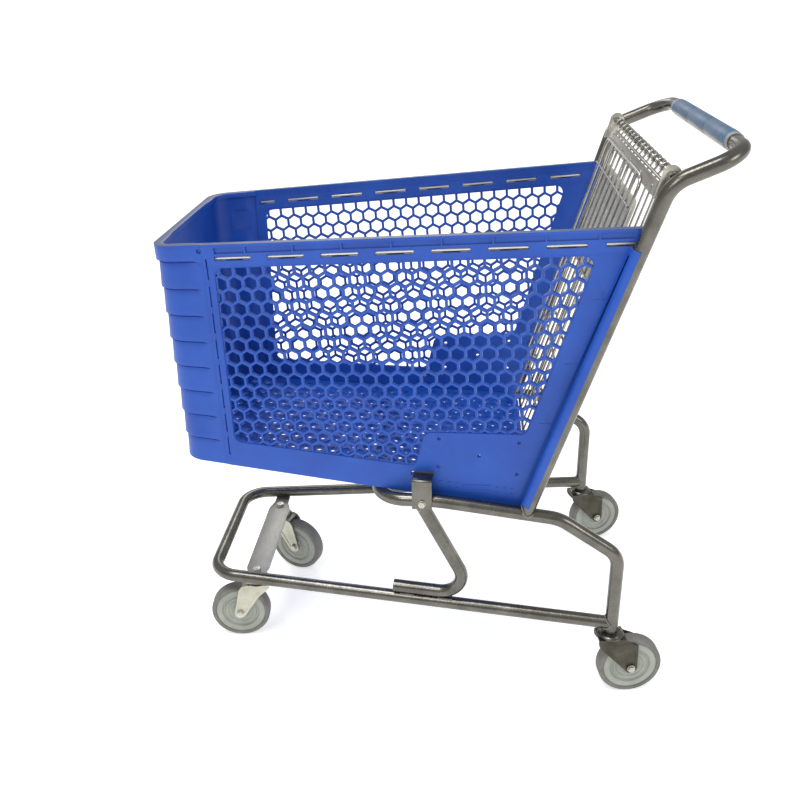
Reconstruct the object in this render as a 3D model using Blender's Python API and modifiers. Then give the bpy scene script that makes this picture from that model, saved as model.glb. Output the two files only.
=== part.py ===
"""Shopping cart: a tubular steel chassis that carries a moulded plastic basket.

X runs from the nose (-X) to the handle (+X), Y from the shopper's left (-Y) to
the right (+Y), and Z is up. The wheels stand on Z = 0. Lengths are in metres.
"""
import math

import bmesh
import bpy
from mathutils import Matrix, Vector

# Driving dimensions
TUBE_R = 0.0127
GAP = 0.0003
SHEET = 0.004
WHEEL_R = 0.0625
WHEEL_WIDTH = 0.028
TRAIL = 0.0413
FORK_TOP = 0.134
FRONT_PLATE_TOP = 0.1593
REAR_STEM = (0.346, 0.270)
FRONT_STEM = (-0.379, 0.131)
LEG_BOTTOM = 0.1413
NOSE_X = -0.4898
SEAM_X = -0.394
RIM_WALL = 0.012
SIDE_WALL = 0.009
FRONT_WALL = 0.005
MESH_WEB = 0.003
ROD_R = 0.0032
ROD_ORIGIN = (0.0, 0.2478, 0.8915)
ROD_PITCH = 0.0935
POST_FOOT = 0.416
POST_TOP = 1.0094
HINGE_X = 0.366
HINGE_Z = 1.020
LEAN = math.atan(0.312)
GRIP_X = 0.4734
GRIP_Z = 1.055
SEAT_HINGE = (-0.0205, -0.510)
FLAP_HINGE = (-0.0075, -0.250)
SIDES = (("left", -1.0), ("right", 1.0))
CASTERS = (
    ("rear_left", REAR_STEM, -1.0, 7.9),
    ("rear_right", REAR_STEM, 1.0, 15.3),
    ("front_left", FRONT_STEM, -1.0, 184.8),
    ("front_right", FRONT_STEM, 1.0, -19.5),
)


# Lines that the basket and the chassis share
def rim_z(x):
    """Height of the basket's top edge, which climbs towards the handle."""
    return 0.9165 + 0.063 * x


def keel_z(x):
    """Height of the basket's lower edge, which falls towards the handle."""
    return 0.4174 - 0.1 * x


def side_y(x, z):
    """Half width at the middle of the side wall: it flares upwards and backwards."""
    return 0.2478 + 0.0866 * x - 0.0367 * (0.8915 - z)


def post_x(z):
    """Centre of the slanted handle post at a height."""
    return 0.1772 + 0.312 * (z - POST_FOOT)


def post_y(z):
    """Half distance between the posts at a height: they spread upwards."""
    return 0.268 + 0.0579 * (z - POST_FOOT)


def rail_y(x):
    """Half width of the base rail: it narrows towards the nose."""
    return 0.2238 + 0.132 * x


def rail_z(x):
    """Height of the base rail, which climbs towards the nose."""
    return 0.1663 - 0.0157 * x


# Scene and helpers
def clear_scene():
    for old in list(bpy.data.objects):
        bpy.data.objects.remove(old, do_unlink=True)


def new_collection(name):
    group = bpy.data.collections.new(name)
    bpy.context.scene.collection.children.link(group)
    return group


def material(name, color, roughness, metallic=0.0):
    made = bpy.data.materials.new(name)
    made.use_nodes = True
    shader = made.node_tree.nodes["Principled BSDF"]
    shader.inputs["Base Color"].default_value = (*color, 1.0)
    shader.inputs["Roughness"].default_value = roughness
    shader.inputs["Metallic"].default_value = metallic
    return made


clear_scene()
PARTS = new_collection("shopping_cart")
TOOLS = new_collection("cutters")
STEEL = material("satin_steel", (0.30, 0.29, 0.26), 0.38, 1.0)
ZINC = material("zinc_plate", (0.62, 0.60, 0.52), 0.42, 1.0)
WIRE = material("bright_wire", (0.50, 0.49, 0.45), 0.32, 1.0)
PLASTIC = material("blue_plastic", (0.02, 0.09, 0.50), 0.45)
GRIP = material("grip_plastic", (0.13, 0.24, 0.40), 0.5)
CREAM = material("seat_plastic", (0.50, 0.48, 0.40), 0.55)
HUB = material("hub_plastic", (0.34, 0.36, 0.32), 0.5)
RUBBER = material("tyre_rubber", (0.20, 0.20, 0.19), 0.65)


def place(item, finish, tool=False):
    """Put an object in its collection and give it its material."""
    for group in list(item.users_collection):
        group.objects.unlink(item)
    (TOOLS if tool else PARTS).objects.link(item)
    if tool:
        item.hide_render = True
        item.display_type = "WIRE"
    if finish is not None:
        item.data.materials.clear()
        item.data.materials.append(finish)
    return item


def meshed(item):
    """Turn a curve object into a welded mesh object in the same place."""
    bpy.context.view_layer.update()
    graph = bpy.context.evaluated_depsgraph_get()
    data = bpy.data.meshes.new_from_object(item.evaluated_get(graph))
    form = bmesh.new()
    form.from_mesh(data)
    bmesh.ops.remove_doubles(form, verts=form.verts, dist=0.00001)
    bmesh.ops.recalc_face_normals(form, faces=form.faces)
    form.to_mesh(data)
    form.free()
    name = item.name
    world = item.matrix_world.copy()
    old = item.data
    bpy.data.objects.remove(item, do_unlink=True)
    bpy.data.curves.remove(old)
    data.name = name
    solid = bpy.data.objects.new(name, data)
    solid.matrix_world = world
    return solid


def bent_path(corners, radii, step=math.radians(15)):
    """Points of a line through the corners, with an arc of its radius at each bend."""
    corners = [Vector(c) for c in corners]
    points = [corners[0]]
    for before, corner, after, radius in zip(corners, corners[1:], corners[2:], radii):
        back = (before - corner).normalized()
        ahead = (after - corner).normalized()
        turn = math.pi - back.angle(ahead)
        reach = radius * math.tan(turn / 2.0)
        middle = corner + (back + ahead).normalized() * (radius / math.cos(turn / 2.0))
        start = corner + back * reach - middle
        axis = start.cross(corner + ahead * reach - middle).normalized()
        count = max(2, math.ceil(turn / step))
        for i in range(count + 1):
            points.append(middle + Matrix.Rotation(turn * i / count, 3, axis) @ start)
    points.append(corners[-1])
    return points


def tube(name, points, radius, finish, resolution=4, tool=False):
    """Round bar or tube along a line of points, closed at both ends."""
    data = bpy.data.curves.new(name, "CURVE")
    data.dimensions = "3D"
    data.bevel_depth = radius
    data.bevel_resolution = resolution
    data.use_fill_caps = True
    line = data.splines.new("POLY")
    line.points.add(len(points) - 1)
    for spot, point in zip(line.points, points):
        spot.co = (*point, 1.0)
    item = bpy.data.objects.new(name, data)
    return place(item, finish, tool)


def outline(name, loops, thickness, finish, matrix, tool=False):
    """Flat plate with its outline in local XY, any holes, and its thickness on local Z."""
    data = bpy.data.curves.new(name, "CURVE")
    data.dimensions = "2D"
    data.fill_mode = "BOTH"
    data.extrude = thickness / 2.0
    for loop in loops:
        line = data.splines.new("POLY")
        line.points.add(len(loop) - 1)
        for spot, point in zip(line.points, loop):
            spot.co = (point[0], point[1], 0.0, 1.0)
        line.use_cyclic_u = True
    item = bpy.data.objects.new(name, data)
    item.matrix_world = matrix
    place(item, finish, tool)
    return place(meshed(item), finish, tool)


def ring_points(x, y, radius, count=16):
    turns = [2.0 * math.pi * i / count for i in range(count)]
    return [(x + radius * math.cos(t), y + radius * math.sin(t)) for t in turns]


def rounded(corners, radius, step=math.radians(22.5)):
    """Closed outline with every corner rounded."""
    looped = [(*corners[-1], 0.0)] + [(*c, 0.0) for c in corners] + [(*corners[0], 0.0)]
    path = bent_path(looped, [radius] * len(corners), step)
    return [(p.x, p.y) for p in path[1:-1]]


def turned(name, profile, finish, matrix, closed=False, steps=24, tool=False):
    """Turned piece: the profile gives (radius, height) pairs, from its top down."""
    data = bpy.data.meshes.new(name)
    count = len(profile)
    edges = [(i, i + 1) for i in range(count - 1)]
    if closed:
        edges.append((count - 1, 0))
    data.from_pydata([(r, 0.0, h) for r, h in profile], edges, [])
    item = bpy.data.objects.new(name, data)
    item.matrix_world = matrix
    place(item, finish, tool)
    spin = item.modifiers.new("turn", "SCREW")
    spin.steps = steps
    spin.render_steps = steps
    spin.use_merge_vertices = True
    spin.merge_threshold = 0.00001
    return item


def box(name, low, high, matrix, tool=True, finish=None):
    data = bpy.data.meshes.new(name)
    form = bmesh.new()
    bmesh.ops.create_cube(form, size=1.0)
    middle = [(a + b) / 2.0 for a, b in zip(low, high)]
    size = [b - a for a, b in zip(low, high)]
    bmesh.ops.scale(form, vec=size, verts=form.verts)
    bmesh.ops.translate(form, vec=middle, verts=form.verts)
    form.to_mesh(data)
    form.free()
    item = bpy.data.objects.new(name, data)
    item.matrix_world = matrix
    return place(item, finish, tool)


def combine(item, other, operation):
    step = item.modifiers.new(operation.lower(), "BOOLEAN")
    step.operation = operation
    step.object = other


def join_meshes(name, items, finish=None, tool=True):
    """One mesh object from several mesh objects that don't touch each other."""
    bpy.context.view_layer.update()
    graph = bpy.context.evaluated_depsgraph_get()
    form = bmesh.new()
    for item in items:
        data = bpy.data.meshes.new_from_object(item.evaluated_get(graph))
        data.transform(item.matrix_world)
        form.from_mesh(data)
        bpy.data.meshes.remove(data)
    data = bpy.data.meshes.new(name)
    form.to_mesh(data)
    form.free()
    for item in items:
        bpy.data.objects.remove(item, do_unlink=True)
    return place(bpy.data.objects.new(name, data), finish, tool)


def mirrored(points, side):
    return [(x, side * y, z) for x, y, z in points]


# Matrices that stand a flat outline upright
UPRIGHT = Matrix.Rotation(math.radians(90.0), 4, "X")
GATE = Matrix.Translation((HINGE_X, 0.0, HINGE_Z)) @ Matrix.Rotation(LEAN, 4, "Y")


# Chassis
def make_base_rail():
    """One bent tube: back to front along the left, across the nose, and back."""
    leg_x, leg_y = REAR_STEM
    nose_x = -0.464
    start = Vector((leg_x, leg_y, rail_z(leg_x)))
    nose = Vector((nose_x, rail_y(nose_x), rail_z(nose_x)))
    start += (nose - start).normalized() * (TUBE_R + GAP)
    half = [tuple(start), tuple(nose)]
    corners = mirrored(half, -1.0) + mirrored(half[::-1], 1.0)
    tube("base_rail", bent_path(corners, [0.055, 0.055]), TUBE_R, STEEL)


def make_chassis_rail():
    """Legs, upper side rails and the cross member under the basket, bent from one tube."""
    leg_x, leg_y = REAR_STEM
    half = [
        (leg_x, leg_y, LEG_BOTTOM),
        (leg_x, leg_y, 0.3163),
        (0.2339, 0.2695, 0.3935),
        (0.0040, 0.2528, 0.4170),
        (-0.1060, 0.2450, 0.4132),
    ]
    bends = [0.045, 0.070, 0.300, 0.060]
    corners = mirrored(half, -1.0) + mirrored(half[::-1], 1.0)
    tube("chassis_rail", bent_path(corners, bends + bends[::-1]), TUBE_R, STEEL)


def make_brace(tag, side):
    """Strut that lies on the base rail, then climbs to the upper rail."""
    lift = 2.0 * TUBE_R + GAP
    foot = [(x, rail_y(x), rail_z(x) + lift) for x in (-0.079, 0.082)]
    corners = mirrored(foot + [(-0.021, 0.251, 0.3965)], side)
    tube("brace_" + tag, bent_path(corners, [0.038]), TUBE_R, STEEL)


def make_handle_tube():
    """Both posts, the two arms and the push bar, bent from one tube."""
    half = [
        (post_x(POST_FOOT), post_y(POST_FOOT), POST_FOOT),
        (post_x(POST_TOP), post_y(POST_TOP), POST_TOP),
        (GRIP_X, 0.2980, GRIP_Z),
    ]
    corners = mirrored(half, -1.0) + mirrored(half[::-1], 1.0)
    bends = [0.055, 0.053]
    tube("handle_tube", bent_path(corners, bends + bends[::-1]), TUBE_R, STEEL)


def make_grip():
    """Plastic sleeve on the push bar, with a loose sleeve at each end."""
    inner = TUBE_R + GAP
    across = Matrix.Translation((GRIP_X, 0.0, GRIP_Z)) @ Matrix.Rotation(-math.pi / 2, 4, "X")
    edge = 0.0015
    outer = 0.0162
    for name, low, high, r in (
        ("handle_grip", -0.196, 0.196, outer),
        ("grip_end_left", -0.2145, -0.1963, outer - 0.001),
        ("grip_end_right", 0.1963, 0.2145, outer - 0.001),
    ):
        profile = [
            (inner, high), (r - edge, high), (r, high - edge),
            (r, low + edge), (r - edge, low), (inner, low),
        ]
        turned(name, profile, GRIP, across, closed=True)


def make_caster_plate():
    """Flat cross plate under the base rail that holds both front casters."""
    x, y = FRONT_STEM
    wide, narrow = 0.024, 0.016
    half = [(wide, 0.120), (narrow, 0.146), (narrow, 0.174)]
    right = [(x + w, v) for w, v in half]
    left = [(x - w, v) for w, v in half[::-1]]
    loop = right + left
    loop += [(u, -v) for u, v in loop[::-1]]
    holes = [ring_points(x, s * y, 0.0053) for s in (-1.0, 1.0)]
    lift = Matrix.Translation((0.0, 0.0, FRONT_PLATE_TOP - SHEET / 2.0))
    outline("caster_plate", [loop] + holes, SHEET, STEEL, lift)


def make_clip(tag, side):
    """Bent steel strap: its tongue enters the basket's slot and its web is bolted to the rail."""
    yaw = Matrix.Rotation(side * math.radians(4.5), 4, "Z")
    spot = Matrix.Translation((-0.0185, side * 0.2645, 0.0)) @ yaw
    web, half, foot, head = 0.003, 0.0185, 0.4050, 0.4660
    bolt_z = 0.4165
    tongue = 0.0350
    hole = turned(
        "clip_hole_" + tag, [(0.0, 0.01), (0.0034, 0.01), (0.0034, -0.01), (0.0, -0.01)], None,
        spot @ Matrix.Translation((0.0, 0.0, bolt_z)) @ UPRIGHT, steps=16, tool=True)
    profile = [(0.0, foot), (web, foot), (web, head), (-tongue, head), (-tongue, head - web), (0.0, head - web)]
    stand = Matrix(((0, 0, side, 0), (side, 0, 0, 0), (0, 1, 0, 0), (0, 0, 0, 1)))
    clip = outline("basket_clip_" + tag, [profile], 2.0 * half, STEEL, spot @ stand)
    combine(clip, hole, "DIFFERENCE")
    shank, head_r = 0.0030, 0.0062
    out = Matrix.Rotation(-side * math.pi / 2.0, 4, "X")
    bolt = [
        (0.0, 0.0075), (head_r - 0.002, 0.0072), (head_r, 0.0055), (head_r, 0.0033),
        (shank, 0.0033), (shank, 0.0003), (0.0, 0.0003),
    ]
    turned("clip_bolt_" + tag, bolt, ZINC, spot @ Matrix.Translation((0.0, 0.0, bolt_z)) @ out, steps=16)


# Casters
def caster_spots(stem, side, heading):
    """A caster's swivel axis, turned to its heading, and its wheel's axle behind it."""
    x, y = stem[0], side * stem[1]
    swivel = Matrix.Translation((x, y, 0.0)) @ Matrix.Rotation(math.radians(heading), 4, "Z")
    return swivel, swivel @ Matrix.Translation((TRAIL, 0.0, WHEEL_R)) @ UPRIGHT


def make_caster(tag, stem, side, heading):
    swivel, hub_spot = caster_spots(stem, side, heading)
    front = stem is FRONT_STEM
    top = FRONT_PLATE_TOP - SHEET if front else LEG_BOTTOM
    make_cup(tag, swivel, top, front)
    make_king_bolt(tag, swivel, top, front)
    make_fork(tag, swivel, hub_spot, front)
    make_wheel(tag, hub_spot)


def make_cup(tag, swivel, top, front):
    """Fixed half of the swivel bearing, between the fork and the chassis."""
    low = FORK_TOP + GAP
    high = top - GAP
    bore = 0.0053
    if front:
        profile = [(bore, high), (0.018, high), (0.024, low + 0.006), (0.026, low), (bore, low)]
    else:
        profile = [(bore, high), (0.022, high), (0.025, low + 0.002), (0.025, low), (bore, low)]
    turned("caster_cup_" + tag, profile, STEEL, swivel, closed=True, steps=20)


def make_king_bolt(tag, swivel, top, front):
    """Pin that the fork turns on: through the front plate, or up against the rear leg."""
    shank = 0.0050
    foot = FORK_TOP - 0.0075
    nut = 0.0090
    seat = FORK_TOP - 0.003 - GAP
    if front:
        seat_top = FRONT_PLATE_TOP + GAP
        upper = [
            (0.0, seat_top + 0.0055), (0.0060, seat_top + 0.0052), (nut, seat_top + 0.0030),
            (nut, seat_top), (shank, seat_top),
        ]
    else:
        upper = [(0.0, top - GAP), (shank, top - GAP)]
    profile = upper + [(shank, seat), (nut, seat), (nut, foot + 0.001), (0.0, foot)]
    turned("king_bolt_" + tag, profile, ZINC, swivel, steps=12)


def make_fork(tag, swivel, hub_spot, front):
    """Pressed fork: a crown with two cheeks that taper down to the axle."""
    sheet = 0.003
    cheek = WHEEL_WIDTH / 2.0 + 0.0035
    hub_r = 0.012
    arc = [math.radians(a) for a in (0, -30, -60, -90, -120, -150)]
    tip = [(TRAIL + hub_r * math.cos(a), WHEEL_R + hub_r * math.sin(a)) for a in arc]
    if front:
        loop = [(0.026, FORK_TOP), (0.040, 0.122)] + tip + [(-0.002, 0.105), (-0.026, 0.128), (-0.026, FORK_TOP)]
    else:
        loop = [(0.026, FORK_TOP), (0.030, 0.126), (0.0533, 0.124)] + tip
        loop += [(-0.020, 0.112), (-0.027, 0.126), (-0.026, FORK_TOP)]
    fork = outline("fork_" + tag, [loop], 2.0 * (cheek + sheet), ZINC if front else STEEL, swivel @ UPRIGHT)
    inside = box(
        "fork_space_" + tag, (-0.06, -cheek, 0.0), (0.09, cheek, FORK_TOP - sheet), swivel)
    bore = 0.0056
    pin = [(0.0, 0.03), (bore, 0.03), (bore, -0.03), (0.0, -0.03)]
    axle_hole = turned("axle_hole_" + tag, pin, None, hub_spot, steps=12, tool=True)
    king_hole = turned(
        "king_hole_" + tag, pin, None, swivel @ Matrix.Translation((0.0, 0.0, FORK_TOP)),
        steps=12, tool=True)
    for cutter in (inside, axle_hole, king_hole):
        combine(fork, cutter, "DIFFERENCE")


def make_wheel(tag, hub_spot):
    """Axle bolt, moulded hub with stepped faces, and a rubber tread."""
    shank, head = 0.0050, 0.0085
    cheek = WHEEL_WIDTH / 2.0 + 0.0065
    tall = 0.0055
    axle = [
        (0.0, cheek + tall), (head, cheek + tall), (head, cheek + GAP), (shank, cheek + GAP),
        (shank, -cheek - GAP), (head, -cheek - GAP), (head, -cheek - tall), (0.0, -cheek - tall),
    ]
    turned("axle_bolt_" + tag, axle, ZINC, hub_spot, steps=12)
    half = WHEEL_WIDTH / 2.0
    face = [(shank + GAP, half), (0.016, half), (0.040, half - 0.004), (0.0500, half - 0.0015)]
    profile = face + [(r, -h) for r, h in face[::-1]]
    turned("hub_" + tag, profile, HUB, hub_spot, closed=True, steps=24)
    shoulder = 0.005
    inner = 0.0500 + GAP
    tread = [
        (inner, half - 0.001), (WHEEL_R - shoulder, half), (WHEEL_R, half - shoulder),
        (WHEEL_R, shoulder - half), (WHEEL_R - shoulder, -half), (inner, 0.001 - half),
    ]
    turned("tyre_" + tag, tread, RUBBER, hub_spot, closed=True, steps=32)


# Basket
def wall_frame(side):
    """Frame of a side wall: X along the rim rod, Y up the wall, Z across it towards -Y."""
    ahead = Vector((1.0, side * 0.0890, 0.0644)).normalized()
    flare = Vector((0.0, side * 0.0367, 1.0))
    across = ahead.cross(flare).normalized()
    up = across.cross(ahead)
    middle = Vector((ROD_ORIGIN[0], side * ROD_ORIGIN[1], ROD_ORIGIN[2]))
    return Matrix.Translation(middle) @ Matrix((ahead, up, across)).transposed().to_4x4()


def on_wall(x, z):
    """Where a point at this X and height falls in a side wall's own frame."""
    spot = wall_frame(1.0).inverted() @ Vector((x, side_y(x, z), z))
    return (spot.x, spot.y)


def make_side_wall(tag, side):
    """Moulded side: a thick rim band with rod windows, and a thin field for the mesh."""
    frame = wall_frame(side)
    back = 0.001
    seam = SEAM_X + GAP
    rear_top, rear_low = 0.9385, 0.3995
    shape = [
        on_wall(seam, keel_z(seam)), on_wall(post_x(rear_low) - back, keel_z(post_x(rear_low))),
        on_wall(post_x(rear_top) - back, rim_z(post_x(rear_top))), on_wall(seam, rim_z(seam)),
    ]
    wall = outline("basket_side_" + tag, [shape], RIM_WALL, PLASTIC, frame)
    band = 0.014
    reach = 0.6
    far = RIM_WALL
    low = SIDE_WALL / 2.0
    web = MESH_WEB / 2.0
    field = [
        on_wall(-0.358, 0.508), on_wall(-0.030, 0.478), on_wall(-0.012, 0.560),
        on_wall(0.168, 0.566), on_wall(0.260, 0.872), on_wall(-0.358, 0.842),
    ]
    field = rounded(field, 0.016, math.radians(45.0))
    for face, inward in (("outer", 1.0), ("inner", -1.0)):
        levels = sorted((inward * low, inward * far))
        shave = box(
            "%s_shave_%s" % (face, tag), (-reach, -reach, levels[0]), (reach, -band, levels[1]), frame)
        combine(wall, shave, "DIFFERENCE")
        depth = far - web
        shift = Matrix.Translation((0.0, 0.0, inward * (web + depth / 2.0)))
        pocket = outline("%s_field_%s" % (face, tag), [field], depth, None, frame @ shift, tool=True)
        combine(wall, pocket, "DIFFERENCE")
    combine(wall, make_post_channel(tag, side), "UNION")
    make_rod_windows(wall, tag, side, frame)
    slot_x, slot_z = on_wall(-0.0170, 0.4645)
    slot = box(
        "clip_slot_" + tag, (slot_x - 0.0225, slot_z - 0.0042, -0.02),
        (slot_x + 0.0225, slot_z + 0.0042, 0.02), frame)
    combine(wall, slot, "DIFFERENCE")


def make_post_channel(tag, side):
    """Hooked rear edge of a side wall, which laps round the front of the slanted post."""
    low, high = 0.419, 0.926
    foot = Vector((post_x(low), side * post_y(low), low))
    head = Vector((post_x(high), side * post_y(high), high))
    along = (head - foot).normalized()
    across = along.cross(Vector((-1.0, 0.0, 0.0))).normalized()
    ahead = across.cross(along)
    inner = TUBE_R + 0.0005
    outer = inner + 0.003
    root, lap = -0.022, 0.0022
    hook = [(outer, root), (outer, outer), (lap, outer), (lap, inner), (inner, inner), (inner, root)]
    hook = [(s, -side * t) for s, t in hook]
    turn = Matrix((ahead, across, along)).transposed().to_4x4()
    spot = Matrix.Translation((foot + head) / 2.0) @ turn
    return outline("post_channel_" + tag, [hook], (head - foot).length, None, spot, tool=True)


def make_rod_windows(wall, tag, side, frame):
    """Windows from the outer and the inner face in turn, so the rod is held between them."""
    first = -0.433
    half_long = 0.345 * ROD_PITCH
    tall = ROD_R + 0.0008
    past = ROD_R + 0.0005
    far = RIM_WALL
    for face, offset, facing in (("outer", 0.0, -side), ("inner", 0.5, side)):
        low, high = sorted((-facing * past, facing * far))
        blocks = []
        for i in range(1, 9):
            middle = (first + 0.0930 * (i - offset)) * ROD_PITCH / 0.0930
            start = max(middle - half_long, -0.388)
            end = min(middle + half_long, 0.3285)
            blocks.append(box("window", (start, -tall, low), (end, tall, high), frame))
        combine(wall, join_meshes("%s_windows_%s" % (face, tag), blocks), "DIFFERENCE")


def make_rim_rod(tag, side):
    """Steel rod threaded along the rim, which stiffens the plastic."""
    frame = wall_frame(side)
    ends = [frame @ Vector((a, 0.0, 0.0)) for a in (-0.3870, 0.3275)]
    tube("rim_rod_" + tag, ends, ROD_R, WIRE, resolution=2)


def make_basket_front():
    """Nose of the basket: one shell that wraps both front corners, lofted between its edges."""
    proud = SIDE_WALL / 2.0

    def section(level):
        def at(x, flip):
            z = keel_z(x) + level * (rim_z(x) - keel_z(x))
            return (x, flip * (side_y(x, z) + proud), 0.0)
        nose = NOSE_X + 0.008 * (1.0 - level)
        seam = SEAM_X - GAP
        corners = [at(seam, -1.0), at(nose, -1.0), at(nose, 1.0), at(seam, 1.0)]
        path = bent_path(corners, [0.040, 0.040])
        return [(p.x, p.y, keel_z(p.x) + level * (rim_z(p.x) - keel_z(p.x))) for p in path]

    levels = [section(i / 4.0) for i in range(5)]
    data = bpy.data.meshes.new("basket_front")
    form = bmesh.new()
    columns = len(levels[0])
    bmesh.ops.create_grid(form, x_segments=columns - 1, y_segments=len(levels) - 1, size=1.0)
    form.verts.ensure_lookup_table()
    for vert in form.verts:
        column = round((vert.co.x + 1.0) / 2.0 * (columns - 1))
        row = round((vert.co.y + 1.0) / 2.0 * (len(levels) - 1))
        vert.co = levels[row][column]
    bmesh.ops.recalc_face_normals(form, faces=form.faces)
    form.faces.ensure_lookup_table()
    lead = min(form.faces, key=lambda face: face.calc_center_median().x)
    if lead.normal.x > 0.0:
        bmesh.ops.reverse_faces(form, faces=form.faces)
    form.to_mesh(data)
    form.free()
    item = place(bpy.data.objects.new("basket_front", data), PLASTIC)
    wall = item.modifiers.new("wall", "SOLIDIFY")
    wall.thickness = FRONT_WALL
    wall.offset = -1.0


def make_basket_floor():
    """Sloping floor between the walls, which rests on the cross member."""
    thick = 0.007
    slope = math.atan(0.1)
    middle_x = -0.15
    edge = 0.0008

    def half_width(x):
        return side_y(x, keel_z(x)) - SIDE_WALL / 2.0 - edge

    front, rear = -0.4762, 0.1790
    turn = Matrix.Rotation(slope, 4, "Y")
    seat = Matrix.Translation((middle_x, 0.0, keel_z(middle_x) + thick / 2.0 + 0.001)) @ turn
    right = [(front, half_width(front) - 0.003), (rear, half_width(rear))]
    corners = [(x, -y) for x, y in right] + right[::-1]
    local = [((x - middle_x) / math.cos(slope), y) for x, y in corners]
    loop = rounded(local, 0.036)
    outline("basket_floor", [loop], thick, PLASTIC, seat)


# Gate and child seat, in the gate's frame: Y across, Z up the gate, -X into the basket
def across_gate(x, z, reach):
    return [GATE @ Vector((x, y, z)) for y in (-reach, reach)]


def along_gate(x, y, top, low):
    return [GATE @ Vector((x, y, z)) for z in (top, low)]


def make_gate_rod():
    """Cross rod that the gate hangs from."""
    ends = [(HINGE_X, y, HINGE_Z) for y in (-0.2876, 0.2876)]
    tube("gate_rod", ends, 0.005, WIRE, resolution=4)


def make_gate_lug(tag, side):
    """Flat lug on the inside of the post, with a hole for the gate rod."""
    rod = (HINGE_X, HINGE_Z)
    radius = 0.013
    foot = 0.985
    arc = [math.radians(a) for a in range(0, 181, 30)]
    crown = [(rod[0] + radius * math.cos(a), rod[1] + radius * math.sin(a)) for a in arc]
    loop = crown + [(post_x(foot) - 0.010, foot), (post_x(foot) + 0.010, foot)]
    spot = Matrix.Translation((0.0, side * 0.2858, 0.0)) @ UPRIGHT
    outline("gate_lug_" + tag, [loop, ring_points(*rod, 0.0053)], SHEET, STEEL, spot)


def gate_half_width(z):
    """The gate narrows downwards, so that it clears the basket as it swings in."""
    return 0.256 if z > -0.13 else 0.256 + 0.10 * (z + 0.13)


def make_gate():
    """Welded wire gate, with two leg openings above the child seat."""
    thick, thin = 0.0030, 0.0022
    top, low = -0.018, -0.620
    shoulder = -0.13
    edge = gate_half_width(low)
    half = [(0.0, 0.256, top), (0.0, 0.256, shoulder), (0.0, edge, low)]
    corners = [(0.0, 0.0, top)] + half + mirrored(half[::-1], -1.0) + [(0.0, 0.0, top)]
    path = bent_path(corners, [0.014, 0.05, 0.020, 0.020, 0.05, 0.014], math.radians(30.0))
    data = tube("wire_gate", [GATE @ p for p in path[:-1]], thick, WIRE, resolution=2)
    data.data.splines[0].use_cyclic_u = True
    gate = place(meshed(data), WIRE)
    pitch = 0.036
    legs = (0.090, 0.126)
    uprights = []
    for i in range(7):
        y = pitch * (i + 0.5)
        foot = low if y < edge - 0.004 else shoulder - (gate_half_width(shoulder) - y) / 0.10
        head = -0.2700 if any(abs(y - leg) < 0.001 for leg in legs) else top
        for s in (-1.0, 1.0):
            wire = tube("wire", along_gate(0.0, s * y, head, foot), thin, WIRE, 1)
            uprights.append(meshed(wire))
    crossing = 0.0034
    bars = []
    for z in (-0.048, -0.2700, -0.400, -0.520):
        reach = gate_half_width(z) + 0.001
        bars.append(meshed(tube("bar", across_gate(crossing, z, reach), thin, WIRE, 1)))
    knuckles = []
    inner, outer, half_wide = 0.0055, 0.0085, 0.008
    collar = [(inner, half_wide), (outer, half_wide), (outer, -half_wide), (inner, -half_wide)]
    for y in (-0.234, -0.054, 0.054, 0.234):
        spot = GATE @ Matrix.Translation((0.0, y, 0.0)) @ UPRIGHT
        ring = turned("knuckle", collar, None, spot, closed=True, steps=16, tool=True)
        knuckles.append(ring)
    hangers = []
    for y in (-0.234, -0.054, 0.054, 0.234):
        hangers.append(meshed(tube("hanger", along_gate(0.0, y, -0.0068, -0.0185), thin, WIRE, 1)))
    for name, group in (
        ("gate_uprights", uprights), ("gate_bars", bars),
        ("gate_hangers", hangers), ("gate_knuckles", knuckles),
    ):
        combine(gate, join_meshes(name, group), "UNION")


def make_gate_strip():
    """Flat steel strip riveted across the head of the gate."""
    half = 0.246
    loop = [(-half, -0.045), (half, -0.045), (half, -0.021), (-half, -0.021)]
    stand = Matrix(((0, 0, 1, 0), (1, 0, 0, 0), (0, 1, 0, 0), (0, 0, 0, 1)))
    holes = [ring_points(y, -0.033, 0.0022, 8) for y in (-0.22, 0.0, 0.22)]
    spot = GATE @ Matrix.Translation((-0.0043, 0.0, 0.0)) @ stand
    outline("gate_strip", [loop] + holes, 0.002, ZINC, spot)


def make_hinge_plate(name, y, hole_x, hole_z, hole_r):
    """Small plate on the gate that carries a seat hinge."""
    rear, radius = -0.0025, hole_r + 0.0030
    arc = [math.radians(a) for a in range(90, 271, 30)]
    nose = [(hole_x + radius * math.cos(a), hole_z + radius * math.sin(a)) for a in arc]
    loop = nose + [(rear, hole_z - radius - 0.002), (rear, hole_z + radius + 0.002)]
    spot = GATE @ Matrix.Translation((0.0, y, 0.0)) @ UPRIGHT
    outline(name, [loop, ring_points(hole_x, hole_z, hole_r, 12)], 0.003, STEEL, spot)


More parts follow.
